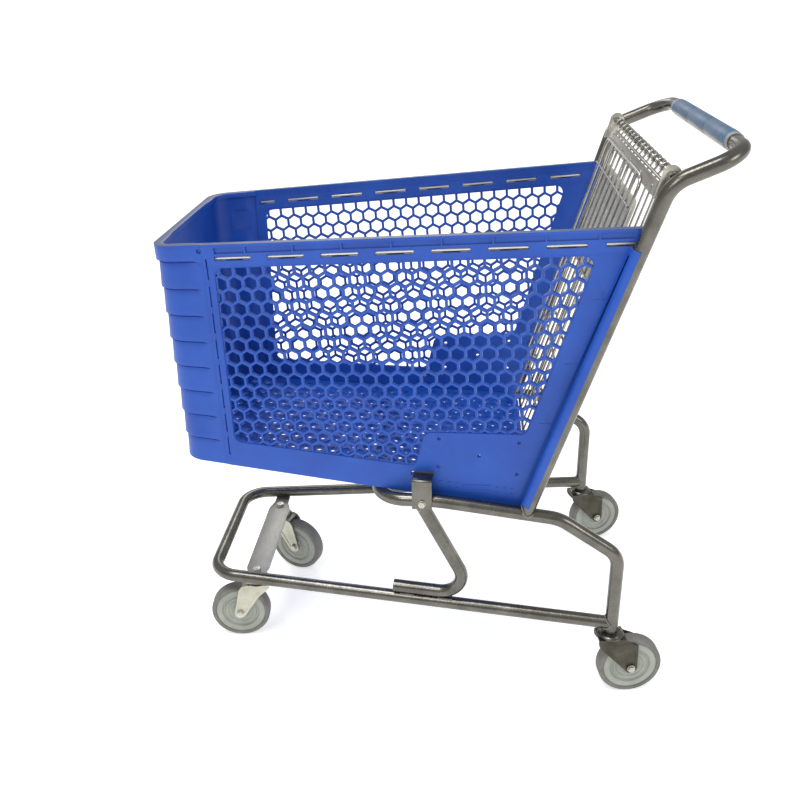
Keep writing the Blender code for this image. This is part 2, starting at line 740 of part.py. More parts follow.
def make_seat_back():
    """Wire back of the child seat; its bottom bar is the hinge."""
    x, low = SEAT_HINGE
    top, reach = -0.028, 0.200
    thick, thin = 0.0030, 0.0020
    half = [(x, reach, top), (x, reach, low)]
    corners = [(x, 0.0, top)] + half + mirrored(half[::-1], -1.0) + [(x, 0.0, top)]
    path = bent_path(corners, [0.022, 0.012, 0.012, 0.022], math.radians(30.0))
    line = tube("seat_back", [GATE @ p for p in path[:-1]], thick, WIRE, resolution=2)
    line.data.splines[0].use_cyclic_u = True
    frame = place(meshed(line), WIRE)
    pitch = 0.0444
    uprights = []
    for i in range(4):
        for s in (-1.0, 1.0):
            y = s * pitch * (i + 0.5)
            uprights.append(meshed(tube("wire", along_gate(x, y, top, low), thin, WIRE, 1)))
    bars = []
    for z in (-0.080, -0.240, -0.400):
        bars.append(meshed(tube("bar", across_gate(x - 0.0032, z, reach + 0.001), thin, WIRE, 1)))
    combine(frame, join_meshes("seat_back_uprights", uprights), "UNION")
    combine(frame, join_meshes("seat_back_bars", bars), "UNION")


def make_seat_flap():
    """Moulded seat that folds up behind the wires, on a rod through its lower edge."""
    x, z = FLAP_HINGE
    wide, tall, thick = 0.172, 0.178, 0.004
    stand = Matrix(((0, 0, 1, 0), (1, 0, 0, 0), (0, 1, 0, 0), (0, 0, 0, 1)))
    loop = rounded([(-wide, z), (wide, z), (wide, z + tall), (-wide, z + tall)], 0.010)
    flap = outline("seat_flap", [loop], thick, CREAM, GATE @ Matrix.Translation((x, 0.0, 0.0)) @ stand)
    spot = GATE @ Matrix.Translation((x, 0.0, z)) @ UPRIGHT
    solid = [(0.0, wide + 0.001), (0.0046, wide + 0.001), (0.0046, -wide - 0.001), (0.0, -wide - 0.001)]
    bore = [(0.0, 0.2), (0.0029, 0.2), (0.0029, -0.2), (0.0, -0.2)]
    barrel = turned("flap_barrel", solid, None, spot, steps=16, tool=True)
    drill = turned("flap_bore", bore, None, spot, steps=16, tool=True)
    combine(flap, barrel, "UNION")
    combine(flap, drill, "DIFFERENCE")
    tube("seat_flap_rod", across_gate(x, z, 0.1865), 0.0025, WIRE, resolution=2)


# Joints
def joint_at(name, spot, pieces, base=None):
    """Empty on a joint's axis, which carries the pieces that turn about it."""
    pivot = bpy.data.objects.new(name, None)
    PARTS.objects.link(pivot)
    pivot.matrix_world = spot
    if base is not None:
        pivot.parent = base
        pivot.matrix_parent_inverse = base.matrix_world.inverted()
    bpy.context.view_layer.update()
    for piece in pieces:
        item = bpy.data.objects[piece]
        item.parent = pivot
        item.matrix_parent_inverse = spot.inverted()
    return pivot


def make_joints():
    """The gate swings on its rod, the seat opens on the gate, and each caster turns and rolls."""
    carried = ["wire_gate", "gate_strip", "seat_flap_rod"]
    carried += [kind + tag for kind in ("seat_hinge_", "flap_hinge_") for tag, side in SIDES]
    gate = joint_at("gate_swing", GATE, carried)
    for name, hinge, piece in (
        ("seat_open", SEAT_HINGE, "seat_back"),
        ("flap_fold", FLAP_HINGE, "seat_flap"),
    ):
        joint_at(name, GATE @ Matrix.Translation((hinge[0], 0.0, hinge[1])), [piece], gate)
    for tag, stem, side, heading in CASTERS:
        swivel, axle = caster_spots(stem, side, heading)
        pivot = joint_at("swivel_" + tag, swivel, ["fork_" + tag, "axle_bolt_" + tag])
        joint_at("spin_" + tag, axle, ["hub_" + tag, "tyre_" + tag], pivot)


def make_cart():
    make_base_rail()
    make_chassis_rail()
    make_handle_tube()
    make_grip()
    make_caster_plate()
    make_basket_front()
    make_basket_floor()
    for tag, side in SIDES:
        make_brace(tag, side)
        make_clip(tag, side)
        make_side_wall(tag, side)
        make_rim_rod(tag, side)
        make_gate_lug(tag, side)
        make_hinge_plate("seat_hinge_" + tag, side * 0.150, *SEAT_HINGE, 0.0036)
        make_hinge_plate("flap_hinge_" + tag, side * 0.182, *FLAP_HINGE, 0.0029)
    make_gate_rod()
    make_gate()
    make_gate_strip()
    make_seat_back()
    make_seat_flap()
    for caster in CASTERS:
        make_caster(*caster)
    make_joints()


make_cart()
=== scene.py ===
"""A tubular steel shopping cart with a moulded plastic basket.

X runs from the nose (-X) to the push bar (+X), Y from the shopper's left (-Y) to the
right (+Y), Z is up, and the wheels stand on Z = 0. Lengths are in metres.
"""
import math

import bmesh
import bpy
from mathutils import Matrix, Vector


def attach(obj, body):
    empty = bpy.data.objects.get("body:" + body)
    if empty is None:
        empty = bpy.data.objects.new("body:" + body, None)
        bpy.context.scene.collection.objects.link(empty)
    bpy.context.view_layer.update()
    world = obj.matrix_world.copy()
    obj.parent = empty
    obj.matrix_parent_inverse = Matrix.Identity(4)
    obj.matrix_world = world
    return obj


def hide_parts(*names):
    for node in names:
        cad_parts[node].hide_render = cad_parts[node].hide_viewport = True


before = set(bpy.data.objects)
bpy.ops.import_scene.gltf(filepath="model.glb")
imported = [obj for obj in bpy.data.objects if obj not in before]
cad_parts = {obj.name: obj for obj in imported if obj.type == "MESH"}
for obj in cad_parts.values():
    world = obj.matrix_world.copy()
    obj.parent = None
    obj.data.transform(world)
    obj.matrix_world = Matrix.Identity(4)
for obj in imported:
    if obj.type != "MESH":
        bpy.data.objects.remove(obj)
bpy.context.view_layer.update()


# ---- Camera, floor and lights ------------------------------------------------
# A pale seamless floor under soft studio light, seen from the cart's left side
# at the height of a standing person.
def aim_camera(place, yaw, pitch, roll, lens):
    """Camera that looks along a heading, tipped down by its pitch and rolled by a hair."""
    ahead = Vector((math.sin(yaw) * math.cos(pitch), math.cos(yaw) * math.cos(pitch), -math.sin(pitch)))
    level = Vector((math.cos(yaw), -math.sin(yaw), 0.0))
    above = level.cross(ahead)
    across = math.cos(roll) * level + math.sin(roll) * above
    upward = math.cos(roll) * above - math.sin(roll) * level
    turn = Matrix((across, upward, -ahead)).transposed().to_4x4()
    data = bpy.data.cameras.new("camera")
    data.lens = lens
    data.sensor_width = 36.0
    camera = bpy.data.objects.new("camera", data)
    camera.matrix_world = Matrix.Translation(place) @ turn
    bpy.context.scene.collection.objects.link(camera)
    bpy.context.scene.camera = camera


def add_light(name, place, target, size, power):
    """Square soft box that faces a point."""
    data = bpy.data.lights.new(name, "AREA")
    data.shape = "SQUARE"
    data.size = size
    data.energy = power
    light = bpy.data.objects.new(name, data)
    aim = (Vector(target) - Vector(place)).to_track_quat("-Z", "Y")
    light.matrix_world = Matrix.Translation(place) @ aim.to_matrix().to_4x4()
    bpy.context.scene.collection.objects.link(light)


aim_camera((0.0593, -1.6946, 1.2984), -0.08004, 0.43761, -0.02029, 40.7)
add_light("key", (-0.9, -2.2, 2.6), (0.0, 0.0, 0.5), 0.8, 13.0)
add_light("fill", (2.4, -1.4, 1.9), (0.1, 0.0, 0.5), 0.9, 13.0)
add_light("back", (-0.6, 2.6, 2.4), (0.0, 0.0, 0.5), 1.2, 15.0)
overhead = bpy.data.lights.new("overhead", "SUN")
overhead.energy = 1.15
overhead.angle = math.radians(24.0)
overhead_lamp = bpy.data.objects.new("overhead", overhead)
overhead_lamp.rotation_euler = (math.radians(12.0), math.radians(-14.0), 0.0)
bpy.context.scene.collection.objects.link(overhead_lamp)
bpy.context.scene.view_settings.view_transform = "Standard"
world = bpy.data.worlds.new("studio")
world.use_nodes = True
sky_look = world.node_tree.nodes["Background"].inputs
sky_look["Color"].default_value = (1.0, 1.0, 1.0, 1.0)
sky_look["Strength"].default_value = 0.54
bpy.context.scene.world = world

floor_mesh = bpy.data.meshes.new("studio_floor")
floor_form = bmesh.new()
bmesh.ops.create_grid(floor_form, x_segments=1, y_segments=1, size=120.0)
floor_form.to_mesh(floor_mesh)
floor_form.free()
studio_floor = bpy.data.objects.new("studio_floor", floor_mesh)
bpy.context.scene.collection.objects.link(studio_floor)
floor_finish = bpy.data.materials.new("studio_floor")
floor_finish.use_nodes = True
floor_look = floor_finish.node_tree.nodes["Principled BSDF"].inputs
floor_look["Base Color"].default_value = (0.93, 0.93, 0.93, 1.0)
floor_look["Roughness"].default_value = 0.9
floor_look["Emission Color"].default_value = (1.0, 1.0, 1.0, 1.0)
floor_look["Emission Strength"].default_value = 0.48
floor_mesh.materials.append(floor_finish)


# ---- Chassis tubes -----------------------------------------------------------
# Round steel tube, one inch across, bent cold and welded: the base rail, the upper
# rail with the rear legs, the two struts and the posts with the push bar.
def mottled_finish(name, dark, light, grain, rough, metallic, relief, stretch=(1.0, 1.0, 1.0)):
    """Surface whose colour, gloss and relief vary a little, from object coordinates."""
    made = bpy.data.materials.new(name)
    made.use_nodes = True
    tree = made.node_tree
    shader = tree.nodes["Principled BSDF"]
    shader.inputs["Metallic"].default_value = metallic
    place = tree.nodes.new("ShaderNodeTexCoord")
    mapping = tree.nodes.new("ShaderNodeMapping")
    mapping.inputs["Scale"].default_value = stretch
    tree.links.new(place.outputs["Object"], mapping.inputs["Vector"])
    cloud = tree.nodes.new("ShaderNodeTexNoise")
    cloud.inputs["Scale"].default_value = grain
    cloud.inputs["Detail"].default_value = 5.0
    cloud.inputs["Roughness"].default_value = 0.62
    tree.links.new(mapping.outputs["Vector"], cloud.inputs["Vector"])
    fine = tree.nodes.new("ShaderNodeTexNoise")
    fine.inputs["Scale"].default_value = grain * 14.0
    fine.inputs["Detail"].default_value = 2.0
    tree.links.new(mapping.outputs["Vector"], fine.inputs["Vector"])
    spread = tree.nodes.new("ShaderNodeMapRange")
    spread.inputs["From Min"].default_value = 0.34
    spread.inputs["From Max"].default_value = 0.66
    tree.links.new(cloud.outputs["Fac"], spread.inputs["Value"])
    tint = tree.nodes.new("ShaderNodeMix")
    tint.data_type = "RGBA"
    tint.inputs["A"].default_value = (*dark, 1.0)
    tint.inputs["B"].default_value = (*light, 1.0)
    tree.links.new(spread.outputs["Result"], tint.inputs["Factor"])
    tree.links.new(tint.outputs["Result"], shader.inputs["Base Color"])
    gloss = tree.nodes.new("ShaderNodeMapRange")
    gloss.inputs["To Min"].default_value = rough[0]
    gloss.inputs["To Max"].default_value = rough[1]
    tree.links.new(fine.outputs["Fac"], gloss.inputs["Value"])
    tree.links.new(gloss.outputs["Result"], shader.inputs["Roughness"])
    bump = tree.nodes.new("ShaderNodeBump")
    bump.inputs["Distance"].default_value = relief
    bump.inputs["Strength"].default_value = 0.6
    tree.links.new(fine.outputs["Fac"], bump.inputs["Height"])
    tree.links.new(bump.outputs["Normal"], shader.inputs["Normal"])
    return made


def bent_path(corners, radii, step=math.radians(6.0)):
    """Points of a line through the corners, with an arc of its radius at each bend."""
    corners = [Vector(c) for c in corners]
    points = [corners[0]]
    for before, corner, after, radius in zip(corners, corners[1:], corners[2:], radii):
        back = (before - corner).normalized()
        ahead = (after - corner).normalized()
        turn = math.pi - back.angle(ahead)
        reach = radius * math.tan(turn / 2.0)
        middle = corner + (back + ahead).normalized() * (radius / math.cos(turn / 2.0))
        start = corner + back * reach - middle
        axis = start.cross(corner + ahead * reach - middle).normalized()
        count = max(2, math.ceil(turn / step))
        for i in range(count + 1):
            points.append(middle + Matrix.Rotation(turn * i / count, 3, axis) @ start)
    points.append(corners[-1])
    return points


def mirrored(points, side=-1.0):
    """The same points on the other side of the cart; side 1 leaves them where they are."""
    return [(x, side * y, z) for x, y, z in points]


def evaluated_mesh(item):
    """Plain mesh of an object with its modifiers, merged and facing outwards; the object goes."""
    bpy.context.view_layer.update()
    graph = bpy.context.evaluated_depsgraph_get()
    mesh = bpy.data.meshes.new_from_object(item.evaluated_get(graph))
    mesh.transform(item.matrix_world)
    form = bmesh.new()
    form.from_mesh(mesh)
    bmesh.ops.remove_doubles(form, verts=form.verts, dist=0.00002)
    bmesh.ops.recalc_face_normals(form, faces=form.faces)
    form.to_mesh(mesh)
    form.free()
    bpy.data.objects.remove(item, do_unlink=True)
    return mesh


def shown(data, name="guide"):
    """Object for a mesh or a curve, linked to the scene."""
    item = bpy.data.objects.new(name, data)
    bpy.context.scene.collection.objects.link(item)
    return item


def tube_mesh(points, radius, around=7, cyclic=False):
    """Round bar or tube along a line of points, closed at both ends."""
    data = bpy.data.curves.new("tube", "CURVE")
    data.dimensions = "3D"
    data.bevel_depth = radius
    data.bevel_resolution = around
    data.use_fill_caps = True
    line = data.splines.new("POLY")
    line.points.add(len(points) - 1)
    for spot, point in zip(line.points, points):
        spot.co = (*point, 1.0)
    line.use_cyclic_u = cyclic
    return evaluated_mesh(shown(data))


def joined(meshes):
    """One mesh from several."""
    form = bmesh.new()
    for mesh in meshes:
        form.from_mesh(mesh)
    whole = bpy.data.meshes.new("joined")
    form.to_mesh(whole)
    form.free()
    return whole


def make_piece(name, mesh, finish, body, nodes=(), crease=32.0):
    """Finished piece: named, finished, smoothed up to its creases, and riding on its body."""
    mesh.name = name
    piece = shown(mesh, name)
    mesh.materials.clear()
    mesh.materials.append(finish)
    mesh.shade_smooth()
    mesh.set_sharp_from_angle(angle=math.radians(crease))
    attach(piece, body)
    if nodes:
        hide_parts(*nodes)
    return piece


SATIN_STEEL = mottled_finish(
    "satin_steel", (0.112, 0.108, 0.092), (0.180, 0.174, 0.152), 22.0, (0.18, 0.32), 0.95, 0.0002)
TUBE_R = 0.0127
POST_FOOT = 0.416
POST_TOP = 1.0094
REAR_LEG = (0.346, 0.270)
LEG_BOTTOM = 0.1413
GRIP = Vector((0.4734, 0.0, 1.055))


def post_at(z):
    """Centre of the slanted right post at a height."""
    return Vector((0.1772 + 0.312 * (z - POST_FOOT), 0.268 + 0.0579 * (z - POST_FOOT), z))


def rail_at(x):
    """Centre of the base rail's right side."""
    return Vector((x, 0.2238 + 0.132 * x, 0.1663 - 0.0157 * x))


rail_nose = rail_at(-0.464)
rail_end = Vector((*REAR_LEG, rail_at(REAR_LEG[0]).z))
base_half = [tuple(rail_end), tuple(rail_nose)]
base_path = bent_path(mirrored(base_half) + base_half[::-1], [0.055, 0.055])
make_piece(
    "base_rail_tube", tube_mesh(base_path, TUBE_R), SATIN_STEEL, "frame", ["base_rail"])

upper_half = [
    (*REAR_LEG, LEG_BOTTOM), (*REAR_LEG, 0.3163), (0.2339, 0.2695, 0.3935),
    (0.0040, 0.2528, 0.4170), (-0.1060, 0.2450, 0.4132),
]
upper_bends = [0.045, 0.070, 0.300, 0.060]
upper_path = bent_path(mirrored(upper_half) + upper_half[::-1], upper_bends + upper_bends[::-1])
make_piece(
    "upper_rail_tube", tube_mesh(upper_path, TUBE_R), SATIN_STEEL, "frame", ["chassis_rail"])

handle_half = [tuple(post_at(0.4015)), tuple(post_at(POST_TOP)), (GRIP.x, 0.2980, GRIP.z)]
handle_path = bent_path(mirrored(handle_half) + handle_half[::-1], [0.055, 0.053, 0.053, 0.055])
make_piece(
    "handle_tube_bent", tube_mesh(handle_path, TUBE_R), SATIN_STEEL, "frame",
    ["handle_tube"])

strut_head = (-0.021, 0.251, 0.4080)
for tag, side in (("left", -1.0), ("right", 1.0)):
    foot = [tuple(rail_at(x) + Vector((0.0, 0.0, 2.0 * TUBE_R))) for x in (-0.079, 0.082)]
    strut_path = bent_path(mirrored(foot + [strut_head], side), [0.046])
    make_piece(
        "strut_tube_" + tag, tube_mesh(strut_path, TUBE_R), SATIN_STEEL, "frame",
        ["brace_" + tag])


# ---- Push bar grip -----------------------------------------------------------
# Extruded plastic sleeve pushed over the bar, blue-grey above and cream below,
# with a short loose sleeve at each end.
def turned_mesh(profile, steps=48, closed=False):
    """Turned piece about Z: (radius, height) pairs from its top down."""
    data = bpy.data.meshes.new("turned")
    count = len(profile)
    edges = [(i, i + 1) for i in range(count - 1)]
    if closed:
        edges.append((count - 1, 0))
    data.from_pydata([(r, 0.0, h) for r, h in profile], edges, [])
    item = shown(data)
    spin = item.modifiers.new("turn", "SCREW")
    spin.steps = steps
    spin.render_steps = steps
    spin.use_merge_vertices = True
    spin.merge_threshold = 0.00001
    return evaluated_mesh(item)


def placed(mesh, matrix):
    """Copy of a mesh, moved, with its faces outwards even where the matrix mirrors it."""
    copy = mesh.copy()
    copy.transform(matrix)
    if matrix.determinant() < 0.0:
        copy.flip_normals()
    return copy


def two_tone(made, under, height, soft):
    """Turn a finish to another colour below a height, as a sleeve that fades underneath."""
    tree = made.node_tree
    shader = tree.nodes["Principled BSDF"]
    source = shader.inputs["Base Color"].links[0].from_socket
    place = tree.nodes.new("ShaderNodeTexCoord")
    split = tree.nodes.new("ShaderNodeSeparateXYZ")
    tree.links.new(place.outputs["Object"], split.inputs["Vector"])
    fade = tree.nodes.new("ShaderNodeMapRange")
    fade.inputs["From Min"].default_value = height - soft
    fade.inputs["From Max"].default_value = height + soft
    tree.links.new(split.outputs["Z"], fade.inputs["Value"])
    tone = tree.nodes.new("ShaderNodeMix")
    tone.data_type = "RGBA"
    tone.inputs["A"].default_value = (*under, 1.0)
    tree.links.new(fade.outputs["Result"], tone.inputs["Factor"])
    tree.links.new(source, tone.inputs["B"])
    tree.links.new(tone.outputs["Result"], shader.inputs["Base Color"])


GRIP_BLUE = mottled_finish(
    "grip_blue_grey", (0.058, 0.122, 0.215), (0.090, 0.165, 0.275), 60.0, (0.38, 0.52), 0.0, 0.0002)
two_tone(GRIP_BLUE, (0.50, 0.48, 0.40), GRIP.z - 0.004, 0.003)
SLEEVE_CREAM = mottled_finish(
    "sleeve_cream", (0.27, 0.27, 0.25), (0.38, 0.38, 0.34), 70.0, (0.40, 0.55), 0.0, 0.0002)
RING_BLUE = mottled_finish(
    "ring_blue", (0.05, 0.16, 0.42), (0.08, 0.22, 0.52), 80.0, (0.35, 0.5), 0.0, 0.0001)
across_bar = Matrix.Translation(GRIP) @ Matrix.Rotation(-math.pi / 2.0, 4, "X")
sleeve_in, sleeve_out = 0.0129, 0.0162


def sleeve_profile(low, high, radius, ribs=0):
    """Section of a sleeve with rolled ends and, on the long grip, shallow ribs between them."""
    edge = 0.0012
    outside = [(radius - edge, high), (radius - edge * 0.3, high - edge * 0.3), (radius, high - edge)]
    for i in range(ribs):
        middle = high - (high - low) * (i + 1.0) / (ribs + 1.0)
        outside += [(radius, middle + 0.0016), (radius - 0.0005, middle + 0.0006)]
        outside += [(radius - 0.0005, middle - 0.0006), (radius, middle - 0.0016)]
    outside += [(radius, low + edge), (radius - edge * 0.3, low + edge * 0.3), (radius - edge, low)]
    return [(sleeve_in, high)] + outside + [(sleeve_in, low)]


grip_mesh = placed(turned_mesh(sleeve_profile(-0.196, 0.196, sleeve_out, 2), closed=True), across_bar)
make_piece("grip_sleeve", grip_mesh, GRIP_BLUE, "frame", ["handle_grip"])
for tag, side in (("left", -1.0), ("right", 1.0)):
    spans = {"left": (-0.2145, -0.2025), "right": (0.2025, 0.2145)}
    low, high = spans[tag]
    end_mesh = placed(turned_mesh(sleeve_profile(low, high, sleeve_out - 0.001), closed=True), across_bar)
    make_piece("end_sleeve_" + tag, end_mesh, SLEEVE_CREAM, "frame", ["grip_end_" + tag])
    near, far = sorted((side * 0.1965, side * 0.2020))
    ring_mesh = placed(turned_mesh(sleeve_profile(near, far, sleeve_out - 0.0004), closed=True), across_bar)
    make_piece("end_ring_" + tag, ring_mesh, RING_BLUE, "frame")


# ---- Weld beads --------------------------------------------------------------
# Small overlapping ripples of weld metal round each tube joint, laid along the
# line where the two tubes meet.
def group_input(tree, name, kind, value=None):
    """Named input of a node group."""
    socket = tree.interface.new_socket(name=name, in_out="INPUT", socket_type=kind)
    if value is not None:
        socket.default_value = value
    return socket.identifier


def new_tree(name):
    """Empty geometry node group with a geometry input and output."""
    tree = bpy.data.node_groups.new(name, "GeometryNodeTree")
    tree.interface.new_socket(name="Geometry", in_out="OUTPUT", socket_type="NodeSocketGeometry")
    group_input(tree, "Geometry", "NodeSocketGeometry")
    return tree


def run_tree(mesh, tree, values):
    """Mesh that a node group makes from a mesh, with its inputs set before it is evaluated."""
    item = shown(mesh)
    step = item.modifiers.new(tree.name, "NODES")
    step.node_group = tree
    for key, value in values.items():
        step[key] = value
    bpy.context.view_layer.update()
    graph = bpy.context.evaluated_depsgraph_get()
    made = bpy.data.meshes.new_from_object(item.evaluated_get(graph))
    item.modifiers.remove(step)
    bpy.data.objects.remove(item, do_unlink=True)
    return made


def weld_tree():
    """Ripples at an even pitch along the edges of the mesh, each turned a little at random."""
    tree = new_tree("weld_ripples")
    keys = {
        "pitch": group_input(tree, "ripple pitch", "NodeSocketFloat", 0.0016),
        "size": group_input(tree, "ripple size", "NodeSocketFloat", 0.0021),
        "seed": group_input(tree, "seed", "NodeSocketInt", 4),
        "finish": group_input(tree, "finish", "NodeSocketMaterial"),
    }
    add = tree.nodes.new
    link = tree.links.new
    source = add("NodeGroupInput")
    result = add("NodeGroupOutput")
    line = add("GeometryNodeMeshToCurve")
    even = add("GeometryNodeResampleCurve")
    even.mode = "LENGTH"
    ripple = add("GeometryNodeMeshIcoSphere")
    ripple.inputs["Subdivisions"].default_value = 2
    scatter = add("GeometryNodeInstanceOnPoints")
    turn = add("FunctionNodeRandomValue")
    turn.data_type = "FLOAT_VECTOR"
    turn.inputs["Max"].default_value = (6.28, 6.28, 6.28)
    swell = add("FunctionNodeRandomValue")
    swell.data_type = "FLOAT_VECTOR"
    swell.inputs["Min"].default_value = (0.85, 0.65, 0.75)
    swell.inputs["Max"].default_value = (1.1, 0.95, 1.0)
    real = add("GeometryNodeRealizeInstances")
    coat = add("GeometryNodeSetMaterial")
    link(source.outputs["Geometry"], line.inputs["Mesh"])
    link(line.outputs["Curve"], even.inputs["Curve"])
    link(source.outputs["ripple pitch"], even.inputs["Length"])
    link(source.outputs["ripple size"], ripple.inputs["Radius"])
    link(even.outputs["Curve"], scatter.inputs["Points"])
    link(ripple.outputs["Mesh"], scatter.inputs["Instance"])
    link(source.outputs["seed"], turn.inputs["Seed"])
    link(source.outputs["seed"], swell.inputs["Seed"])
    link(turn.outputs["Value"], scatter.inputs["Rotation"])
    link(swell.outputs["Value"], scatter.inputs["Scale"])
    link(scatter.outputs["Instances"], real.inputs["Geometry"])
    link(real.outputs["Geometry"], coat.inputs["Geometry"])
    link(source.outputs["finish"], coat.inputs["Material"])
    link(coat.outputs["Geometry"], result.inputs["Geometry"])
    return tree, keys


def saddle_ring(foot, toward, crossing, radius=TUBE_R + 0.0008, other=TUBE_R + 0.0008, count=28):
    """Line where a tube that runs off from `foot` along `toward` meets a round bar along `crossing`."""
    toward = Vector(toward).normalized()
    crossing = Vector(crossing).normalized()
    aside = crossing.cross(toward).normalized()
    along = toward.cross(aside).normalized()
    lean = toward.dot(crossing)
    square = (toward - crossing * lean).length
    ring = []
    for i in range(count):
        angle = 2.0 * math.pi * i / count
        s = radius * math.cos(angle)
        t = radius * math.sin(angle)
        rise = math.sqrt(max(other ** 2 - (s * 0.97) ** 2, 0.0)) / square
        ring.append(Vector(foot) + aside * s + along * t + toward * (rise - t * lean / square))
    return ring


def line_mesh(lines):
    """Mesh of bare edges along lines of points; a closed line repeats its first point."""
    points = []
    edges = []
    for line in lines:
        start = len(points)
        points += [tuple(p) for p in line]
        edges += [(start + i, start + i + 1) for i in range(len(line) - 1)]
    mesh = bpy.data.meshes.new("lines")
    mesh.from_pydata(points, edges, [])
    return mesh


seams = []
post_run = (post_at(POST_TOP) - post_at(POST_FOOT)).normalized()
for side in (-1.0, 1.0):
    flip = Vector((1.0, side, 1.0))
    leg = Vector((REAR_LEG[0], REAR_LEG[1], rail_end.z)) * flip
    seams.append(saddle_ring(leg, (rail_nose - rail_end) * flip, (0.0, 0.0, 1.0)))
    head = Vector(strut_head) * flip
    strut_run = (rail_at(0.082) + Vector((0.0, 0.0, 2.0 * TUBE_R)) - Vector(strut_head)) * flip
    seams.append(saddle_ring(head + Vector((0.0, 0.0, 0.0070)), strut_run, (1.0, 0.0, 0.0)))
    rail_run = (Vector((0.2339, 0.2695, 0.3935)) - Vector((0.0040, 0.2528, 0.4170))) * flip
    seams.append(saddle_ring((post_at(POST_FOOT) - post_run * 0.0175) * flip, post_run * flip, rail_run))
    for x0, x1 in ((-0.066, -0.040), (0.010, 0.036)):
        for lean in (-1.0, 1.0):
            rise = Vector((0.0, lean * 0.0068, TUBE_R * 0.93))
            seams.append([(rail_at(x0) + rise) * flip, (rail_at(x1) + rise) * flip])
    for y in (0.1530, 0.1700):
        seams.append([Vector((-0.3930, side * y, 0.1585)), Vector((-0.3650, side * y, 0.1585))])
seams = [line + [line[0]] if len(line) > 2 else line for line in seams]
WELD_STEEL = mottled_finish(
    "weld_metal", (0.17, 0.16, 0.14), (0.30, 0.29, 0.26), 90.0, (0.30, 0.5), 0.9, 0.0002)
ripples, weld_keys = weld_tree()
weld_mesh = run_tree(line_mesh(seams), ripples, {weld_keys["finish"]: WELD_STEEL})
make_piece("weld_beads", weld_mesh, WELD_STEEL, "frame")


# ---- Basket sides ------------------------------------------------------------
# Moulded blue side walls: a thick rim that holds a steel rod between windows cut
# from each face in turn, a honeycomb field, and a hooked edge that laps the post.
def blue_with_wear_and_highlight(name):
    """Blue plastic with faint flow marks, and a grey tint on the up-facing faces at the rim: partly wear,
    partly a painted highlight.
    """
    made = mottled_finish(
        name, (0.006, 0.061, 0.375), (0.012, 0.086, 0.460), 9.0, (0.34, 0.50), 0.0, 0.00012)
    tree = made.node_tree
    shader = tree.nodes["Principled BSDF"]
    shader.inputs["Specular IOR Level"].default_value = 0.45
    base = shader.inputs["Base Color"].links[0].from_socket
    face = tree.nodes.new("ShaderNodeNewGeometry")
    split = tree.nodes.new("ShaderNodeSeparateXYZ")
    tree.links.new(face.outputs["Normal"], split.inputs["Vector"])
    place = tree.nodes.new("ShaderNodeTexCoord")
    height = tree.nodes.new("ShaderNodeSeparateXYZ")
    tree.links.new(place.outputs["Object"], height.inputs["Vector"])
    # Faces that look up: the painted highlight and the wear both go here
    upward = tree.nodes.new("ShaderNodeMapRange")
    upward.inputs["From Min"].default_value = 0.55
    upward.inputs["From Max"].default_value = 0.95
    tree.links.new(split.outputs["Z"], upward.inputs["Value"])
    scuff = tree.nodes.new("ShaderNodeTexNoise")
    scuff.inputs["Scale"].default_value = 38.0
    scuff.inputs["Detail"].default_value = 6.0
    tree.links.new(place.outputs["Object"], scuff.inputs["Vector"])
    patch = tree.nodes.new("ShaderNodeMapRange")
    patch.inputs["From Min"].default_value = 0.30
    patch.inputs["From Max"].default_value = 0.62
    patch.inputs["To Min"].default_value = 0.55
    patch.inputs["To Max"].default_value = 0.95
    tree.links.new(scuff.outputs["Fac"], patch.inputs["Value"])
    at_rim = tree.nodes.new("ShaderNodeMapRange")
    at_rim.inputs["From Min"].default_value = 0.86
    at_rim.inputs["From Max"].default_value = 0.88
    tree.links.new(height.outputs["Z"], at_rim.inputs["Value"])
    rim_top_wear_and_highlight = tree.nodes.new("ShaderNodeMath")
    rim_top_wear_and_highlight.operation = "MULTIPLY"
    tree.links.new(upward.outputs["Result"], rim_top_wear_and_highlight.inputs[0])
    tree.links.new(at_rim.outputs["Result"], rim_top_wear_and_highlight.inputs[1])
    patchy_wear_and_highlight = tree.nodes.new("ShaderNodeMath")
    patchy_wear_and_highlight.operation = "MULTIPLY"
    tree.links.new(rim_top_wear_and_highlight.outputs["Value"], patchy_wear_and_highlight.inputs[0])
    tree.links.new(patch.outputs["Result"], patchy_wear_and_highlight.inputs[1])
    # Painted highlight and wear: up-facing faces along the rim are mixed towards grey
    wear_and_highlight_tint = tree.nodes.new("ShaderNodeMix")
    wear_and_highlight_tint.data_type = "RGBA"
    wear_and_highlight_tint.inputs["B"].default_value = (0.110, 0.122, 0.180, 1.0)
    tree.links.new(patchy_wear_and_highlight.outputs["Value"], wear_and_highlight_tint.inputs["Factor"])
    tree.links.new(base, wear_and_highlight_tint.inputs["A"])
    tree.links.new(wear_and_highlight_tint.outputs["Result"], shader.inputs["Base Color"])
    return made


